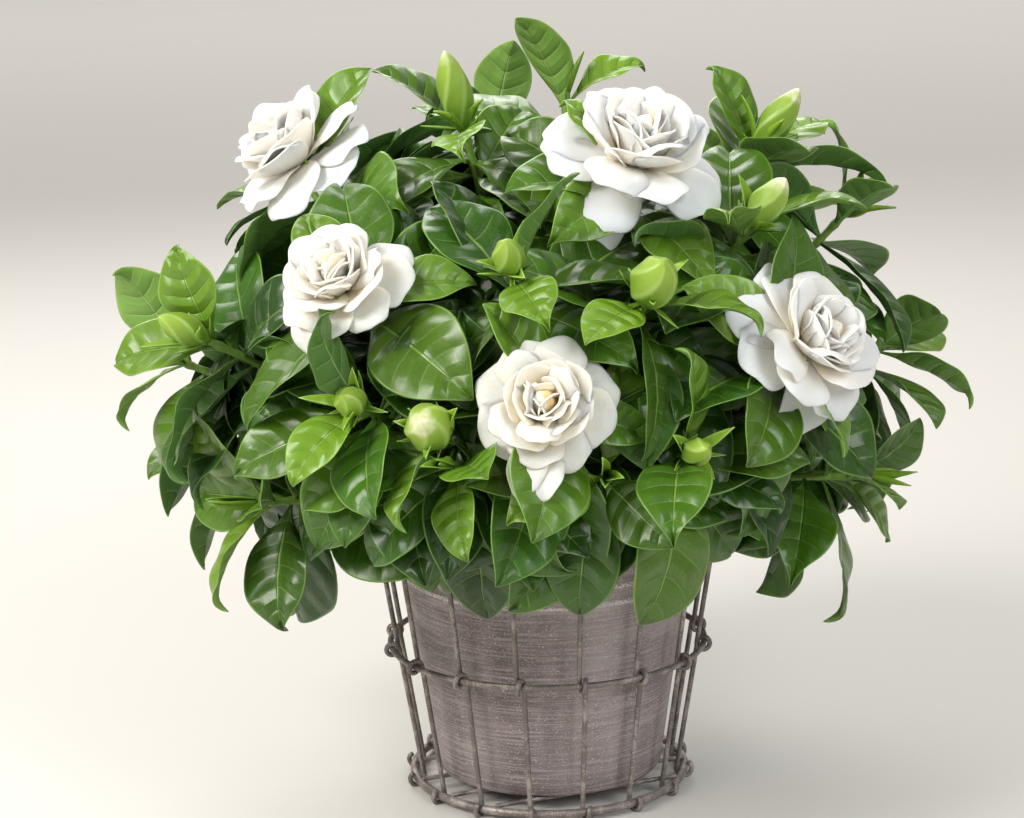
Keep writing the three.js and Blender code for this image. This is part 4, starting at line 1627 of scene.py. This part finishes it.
# %% Plans for the inner leaves
inner_whorls = [
    {"count": 3, "below": 50, "lift": 66, "size": 1.04, "bend": 0.5, "sag": 0.1, "turn": 0},
    {"count": 3, "below": 66, "lift": 76, "size": 0.98, "bend": 0.5, "sag": 0.1, "turn": 0},
    {"count": 3, "below": 84, "lift": 72, "size": 0.86, "bend": 0.5, "sag": 0.0, "turn": 0},
    {"count": 3, "below": 30, "lift": 72, "size": 0.92, "bend": 0.6, "sag": 0.12, "turn": 30},
    {"count": 3, "below": 42, "lift": 82, "size": 0.98, "bend": 0.6, "sag": 0.15, "turn": 75, "beyond": 140},
]
seen_whorls = [3, 6, 7]
rim_clearance = 15
basket_clearance = 20
skirt_start = 90
skirt_slope = 0.3
bloom_middle = 20
bloom_clearance = 42
broadest = 0.6


def reaches_pot(plan):
    """Whether the leaf hangs over the pot's rim, or lower than the skirt, which falls to the sides."""
    tip = blade_tip(plan)
    over_rim = tip.z < rim_height + rim_clearance and tip.xy.length < top_ring["radius"] + basket_clearance
    return over_rim or tip.z < rim_height - skirt_slope * max(0, abs(tip.x) - skirt_start)


def covers_bloom(plan, shoot):
    """Whether the leaf's tip or its broadest place comes near the middle of another shoot's bloom."""
    tip = blade_tip(plan)
    belly = plan["root"].lerp(tip, broadest)
    for other in shoots:
        if "bloom" in other and other is not shoot:
            middle = other["tip"] + other["axis"] * bloom_middle
            if min((tip - middle).length, (belly - middle).length) < bloom_clearance:
                return True
    return False


def inner_plans(shoot):
    plans = []
    for number, whorl in enumerate(inner_whorls):
        if abs(shoot["tip"].x) < whorl.get("beyond", 0):
            continue
        for leaf_number in range(whorl["count"]):
            plan = leaf_plan(shoot, whorl, len(whorls) + number, leaf_number, (0, whorl["turn"], 1))
            if not reaches_pot(plan) and not covers_bloom(plan, shoot):
                plans.append(plan)
    return plans


inner_leaf_plans = {shoot["name"]: inner_plans(shoot) for shoot in shoots}
print(sum(len(plans) for plans in inner_leaf_plans.values()), "inner leaves")

# %% [markdown]
# ## Growing the shoots
#
# Now each shoot is put together: its leaves are copies of the three models, laid to their plans and
# joined. A Solidify modifier gives them a leaf's half millimetre and hands the underside and the
# thin rim their own materials, and one level of subdivision rounds quilt and outline. Leaves deep
# inside get their thickness too, but stay coarse, since nobody sees them close.

# %% Leaves with thickness
leaf_thickness = 0.55
youth_of_whorl = [
    (0.38, 0.28), (0.13, 0.14), (0.04, 0.06), (0.02, 0.03), (0, 0), (0, 0), (0.06, 0.08), (0.04, 0.06),
]
# Painted shade of each whorl: how far its leaves are darkened for lying deep in the crown.
painted_shade_of_whorl = [0, 0, 0, 0.15, 0.45, 0.72, 0, 0.1]
# High shoots get paler, younger colour: partly young growth, partly painted light on the top of the crown.
young_and_lit_above = 330
young_and_lit_rise = 700


def leaf_tone(shoot, plan):
    """How young the leaf is, which on high shoots is partly painted light, its random shade, and how deep it
    lies, which darkens it as painted shade.
    """
    def vary(middle, reach, what):
        return spread(middle, reach, shoot["number"] + 1, plan["counter"] + 1, what)

    whorl_number = plan["counter"] // 4
    # Partly painted light: the higher a shoot's tip, the paler and younger its leaves.
    youth = vary(*youth_of_whorl[whorl_number], 14) + max(0, shoot["tip"].z - young_and_lit_above) / young_and_lit_rise
    return (min(1, max(0, youth)), vary(0.5, 0.5, 15), painted_shade_of_whorl[whorl_number])


def grow(shoot, plans):
    leaves = []
    for plan in plans:
        which = int(draw(shoot["number"] + 1, plan["counter"] + 1, 16) * len(leaf_models))
        tone = leaf_tone(shoot, plan)
        leaves.append(blade_copy("leaf", leaf_models[which], leaf_flats[which], plan, tone))
    return leaves


def thicken(piece, thickness):
    apply_modifier(
        piece, "thickness", "SOLIDIFY",
        thickness=thickness * MM, offset=-1, material_offset=1, material_offset_rim=2,
    )


print("leaf thickness", leaf_thickness, "mm")

# %% Grow every shoot
def grow_shoot(shoot):
    """All leaves, the stem and the bud of one shoot, as one piece."""
    inner_plans = inner_leaf_plans[shoot["name"]]
    seen = [plan for plan in inner_plans if plan["counter"] // 4 in seen_whorls]
    hidden = [plan for plan in inner_plans if plan["counter"] // 4 not in seen_whorls]
    outer = join("outer_leaves", grow(shoot, leaf_plans[shoot["name"]] + seen))
    thicken(outer, leaf_thickness)
    subdivide(outer)
    inner = join("inner_leaves", grow(shoot, hidden))
    thicken(inner, leaf_thickness)
    parts = [outer, inner, stem_of(shoot), *bud_of(shoot)]
    slivers = young_leaves(shoot) + calyx_of(shoot)
    if slivers:
        fine = join("slivers", slivers)
        thicken(fine, leaf_thickness)
        parts.append(fine)
    piece = join("grown_" + shoot["name"], parts)
    bpy.ops.object.shade_smooth()
    return take_place(piece, "leaf", "shoot_" + shoot["name"])


total = sum(count_triangles(grow_shoot(shoot)) for shoot in shoots)
put_away(*leaf_models, sliver, model_stem)
print(len(shoots), "shoots with", total, "triangles")

# %% [markdown]
# ## Petal finish
#
# Gardenia petals are thick and velvety, white at the rim and creamier towards the heart and with
# age. Light goes a few millimetres into them, so their shadows are warm and soft: that is what
# Subsurface does. Faint ribs run along each petal, drawn in the petal's own map.

# %% The petal's material
def petal_finish():
    material, tree, shader = new_material(
        "petal_velvet",
        Specular_IOR_Level=0.3,
        Subsurface_Weight=0.6,
        Subsurface_Radius=(1.0, 0.78, 0.5),
        Subsurface_Scale=0.007,
        Sheen_Weight=0.15,
        Sheen_Roughness=0.5,
    )
    flat = add_node(tree, "ShaderNodeUVMap", {"uv_map": "UVMap"}).outputs[0]
    across, along = add_node(tree, "ShaderNodeSeparateXYZ", None, Vector=flat).outputs[:2]
    heart, chance, age = tones(tree)
    place = stretched(tree, (1, 1, 1))
    cloud = noise(tree, place, 70.0, 3.0)
    squeezed = sums(tree, "MULTIPLY", along, 0.12)
    ribs_place = add_node(tree, "ShaderNodeCombineXYZ", None, X=across, Y=squeezed, Z=chance)
    ribs = noise(tree, ribs_place.outputs[0], 16.0, 3.0, 0.6)
    low = ramp(tree, along, 0.75, 0.0)
    warmth = sums(tree, "MULTIPLY", sums(tree, "MULTIPLY_ADD", heart, 0.75, 0.25), low)
    warmth = sums(tree, "MULTIPLY_ADD", age, sums(tree, "MULTIPLY", cloud, 0.9), warmth, clamp=True)
    white = mix_colour(tree, ribs, (0.91, 0.885, 0.83, 1), (0.95, 0.932, 0.89, 1))
    cream = mix_colour(tree, cloud, (0.90, 0.76, 0.50, 1), (0.91, 0.82, 0.62, 1))
    creamy = mix_colour(tree, warmth, white, cream)
    depth = sums(tree, "MULTIPLY", ramp(tree, heart, 0.45, 0.95), ramp(tree, along, 0.62, 0.15))
    colour = mix_colour(tree, sums(tree, "MULTIPLY", depth, 0.85), creamy, (0.80, 0.50, 0.17, 1))
    paint(tree, shader, colour, sums(tree, "MULTIPLY_ADD", cloud, 0.2, 0.42))
    bump_into(tree, shader, sums(tree, "MULTIPLY_ADD", ribs, 1.0, cloud), 0.25, 0.0012)
    return material


petal_material = petal_finish()
print("petal velvet:", len(petal_material.node_tree.nodes), "nodes")

# %% [markdown]
# ## The model petal
#
# A petal has a narrow claw and a broad, rounded end. It is shaped as the leaf was, six faces across
# and eight along, but its corner vertices are drawn back from the tip, which makes the end round.

# %% Shape the model petal
petal_columns = 6
petal_rows = 8
petal_outline = [0.24, 0.42, 0.62, 0.80, 0.93, 1.0, 0.99, 0.90, 0.62]
petal_length = 38
petal_width = 33
corner_pull = 4.8
furrow_depth = 0.35


def petal_relief(share, along):
    off = abs(share)
    back = -corner_pull * off**2 * along**3
    furrow = furrow_depth * math.cos(3 * math.pi * off) * math.sin(math.pi * along)
    return back, furrow


petal = flat_grid(petal_columns, petal_rows, petal_width, petal_length)
shape_blade(petal, petal_columns, petal_rows, petal_width, petal_length, petal_outline, petal_relief)
finish(petal, "model_petal")
petal.data.materials.append(petal_material)
petal_flat = flat_places(petal, petal_width, petal_length)
print("model petal:", len(petal.data.polygons), "faces")

# %% [markdown]
# ## Blooms
#
# A double bloom is a spiral of petals, one golden angle apart. The outer ones lie flat, those of the
# bowl stand up and lean in over each other, and the last wrap round the heart. The plan holds
# eleven petals from the outermost to the heart. They are laid again here with a rounded, ruffled
# end, and three rings, the apron, the bowl and the heart, get the petals between them, which the
# plan has no room for. In the middle is the part that is still furled, a small copy of the bud in
# petal velvet. Each bloom also has one to three outer petals that came loose, and each of those has
# its own angle round the bloom.

# %% Plans of the petals
petal_count = 11
outer_petal = {"lift": 92, "height": 3, "length": 38, "width": 33, "bend": 0.4}
heart_petal = {"lift": 16, "height": 8, "length": 23, "width": 20, "bend": -0.8}
petal_thickness = 1.0
apron = {
    "count": 4, "start": 17, "inward": (0.1, 0.25),
    "lift": (88, 72), "height": (3, 4), "length": (37, 34), "width": (37, 33),
    "bend": (0.35, 0.1), "curl": (0.4, 0.5), "roll_back": (3, 3),
    "ruffle": (1.6, 1.2), "root": (3, 3),
}
bowl = {
    "count": 14, "start": 31, "inward": (0.35, 0.85),
    "lift": (70, 31), "height": (5, 8), "length": (29, 23), "width": (40, 21),
    "bend": (-0.73, -0.75), "curl": (0.85, 1.3), "roll_back": (3.2, 1.6),
    "ruffle": (1.0, 0.3), "root": (3, 2.5),
}
heart = {
    "count": 4, "start": 64, "inward": (0.85, 1.0),
    "lift": (33, 24), "height": (7, 7), "length": (23, 22), "width": (23, 18),
    "bend": (-0.75, -0.8), "curl": (0.85, 0.8), "roll_back": (5.0, 4.0),
    "ruffle": (0.6, 0.4), "root": (2.5, 2.5),
}
print(petal_count, "petals of the plan and", apron["count"] + bowl["count"] + heart["count"], "between them")

# %% A petal of the plan
petal_root = 3


def between_ends(ends, share):
    return ends[0] + (ends[1] - ends[0]) * share


def laid_petal(shoot, radial, along, root, height):
    size = shoot["bloom"]["size"]
    return {
        "root": shoot["tip"] + shoot["axis"] * height * size + radial * root * size,
        "along": along,
        "face": square_to(along, shoot["axis"] - radial * 0.4),
    }


def plan_petal(shoot, number):
    """A petal where the plan has it."""
    size, roll = shoot["bloom"]["size"], shoot["bloom"]["roll"]
    inward = number / (petal_count - 1)

    def vary(what, reach):
        middle = between_ends((outer_petal[what], heart_petal[what]), inward)
        return spread(middle, reach, shoot["number"] + 41, number + 1)

    radial, along = out_of(shoot, roll + number * golden_angle, vary("lift", 3))
    return {
        **laid_petal(shoot, radial, along, petal_root, vary("height", 0)),
        "length": vary("length", 3) * size,
        "width": vary("width", 2) * size,
        "bend": vary("bend", 0.1),
        "curl": 0.35 + 0.5 * inward,
        "roll_back": (2.0 + 3.0 * math.sin(math.pi * inward) + 2.0 * inward) * size,
        "ruffle": (2.0 - 1.6 * inward) * size,
        "phase": 6 * draw(shoot["number"] + 5, number + 1),
        "inward": inward,
    }


print("a petal grows", petal_root, "mm off the bloom's axis")

# %% A petal of one of the rings
def ring_petal(shoot, ring, number):
    """A petal of the apron, the bowl or the heart."""
    size, roll = shoot["bloom"]["size"], shoot["bloom"]["roll"]
    share = number / (ring["count"] - 1)
    seed = ring["start"] + number

    def vary(what, reach):
        return spread(between_ends(ring[what], share), reach, shoot["number"] + 61, seed)

    turn = roll + seed * golden_angle + spread(0, 14, shoot["number"] + 63, seed)
    radial, along = out_of(shoot, turn, vary("lift", 5))
    return {
        **laid_petal(shoot, radial, along, vary("root", 0), vary("height", 0)),
        "length": vary("length", 2) * size,
        "width": vary("width", 2) * size,
        "bend": vary("bend", 0.12),
        "curl": vary("curl", 0.1),
        "roll_back": vary("roll_back", 0.5) * size,
        "ruffle": vary("ruffle", 0) * size,
        "phase": 6 * draw(shoot["number"] + 7, seed),
        "inward": between_ends(ring["inward"], share),
    }


print("petals stand", round(golden_angle, 1), "degrees apart, give or take a few")

# %% Petals that hang loose
loose_height = 1.5
loose_petals = {
    "bloom_front": [
        {"turn": 256, "lift": 68, "length": 48, "width": 21, "bend": 0.26, "curl": 0.6, "roll_back": 0.8},
        {"turn": 269, "lift": 71, "length": 47, "width": 23, "bend": 0.24, "curl": 0.5, "roll_back": 0.8},
    ],
    "bloom_left": [{"turn": 200, "lift": 98, "length": 40, "width": 36, "bend": 0.4}],
    "bloom_upper_left": [
        {"turn": 40, "lift": 84, "length": 45, "width": 36, "bend": 0.3},
        {"turn": 230, "lift": 100, "length": 50, "width": 28, "bend": 0.7},
    ],
    "bloom_top": [
        {"turn": 226, "lift": 114, "length": 52, "width": 27, "bend": 0.9},
        {"turn": 12, "lift": 95, "length": 60, "width": 46, "bend": 0.4},
        {"turn": 150, "lift": 84, "length": 46, "width": 42, "bend": 0.2},
    ],
    "bloom_right": [
        {"turn": 262, "lift": 104, "length": 46, "width": 38, "bend": 0.5},
        {"turn": 80, "lift": 84, "length": 46, "width": 40, "bend": 0.2},
    ],
}


def loose_petal(shoot, given, number):
    radial, along = out_of(shoot, given["turn"], given["lift"])
    return {
        "curl": 0.4,
        "roll_back": 3,
        **given,
        **laid_petal(shoot, radial, along, petal_root, loose_height),
        "ruffle": 2.4,
        "phase": 2.1 * number + shoot["number"],
        "inward": 0.05,
    }


print(sum(len(given) for given in loose_petals.values()), "loose petals")

# %% Make the five blooms
bloom_age = {
    "bloom_front": 1.0, "bloom_left": 0.8, "bloom_upper_left": 0.10, "bloom_top": 0.05, "bloom_right": 0.25,
}
core_radius = 7.0
core_length = 23.5
core_start = 5


def make_bloom(shoot):
    name = shoot["name"]
    plans = [plan_petal(shoot, number) for number in range(petal_count)]
    for ring in (apron, bowl, heart):
        plans += [ring_petal(shoot, ring, number) for number in range(ring["count"])]
    plans += [loose_petal(shoot, given, number) for number, given in enumerate(loose_petals[name])]
    petals = []
    for number, plan in enumerate(plans):
        tone = (plan["inward"], draw(shoot["number"] + 2, number + 31), bloom_age[name])
        petals.append(blade_copy("petal", petal, petal_flat, plan, tone))
    open_petals = join("petals", petals)
    thicken(open_petals, petal_thickness)
    subdivide(open_petals)
    size = shoot["bloom"]["size"]
    core_scale = (core_radius * size, core_radius * size, core_length / bud_length * size)
    core_place = shoot["tip"] + shoot["axis"] * core_start * size
    core = copy_of(bud, "core", turned_to(shoot, core_place, core_scale))
    core.data.materials.clear()
    core.data.materials.append(petal_material)
    paint_tone(core, 0.8, 0.5, bloom_age[name])
    whole = join("open_" + name, [open_petals, core])
    bpy.ops.object.shade_smooth()
    return take_place(whole, "petal", name)


total = sum(count_triangles(make_bloom(shoot)) for shoot in shoots if "bloom" in shoot)
put_away(petal, bud)
print("five blooms with", total, "triangles")

# %% [markdown]
# ## Sizes and pieces
#
# Both boxes, the plan's and the finished plant's, are written down side by side, so that the
# finished plant's size can be held against the plan's, and the last line counts the pieces.

# %% Write the sizes
fine_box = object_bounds()
for axis, low, high, fine_low, fine_high in zip("xyz", *plan_box, *fine_box):
    print(axis, "plan", round(low, 4), round(high, 4), "finished", round(fine_low, 4), round(fine_high, 4))

# %% Count the pieces
pieces = [piece for piece in bpy.context.scene.objects if piece.type == "MESH" and "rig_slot" in piece]
print(len(pieces), "pieces,", sum(count_triangles(piece) for piece in pieces), "triangles in all")
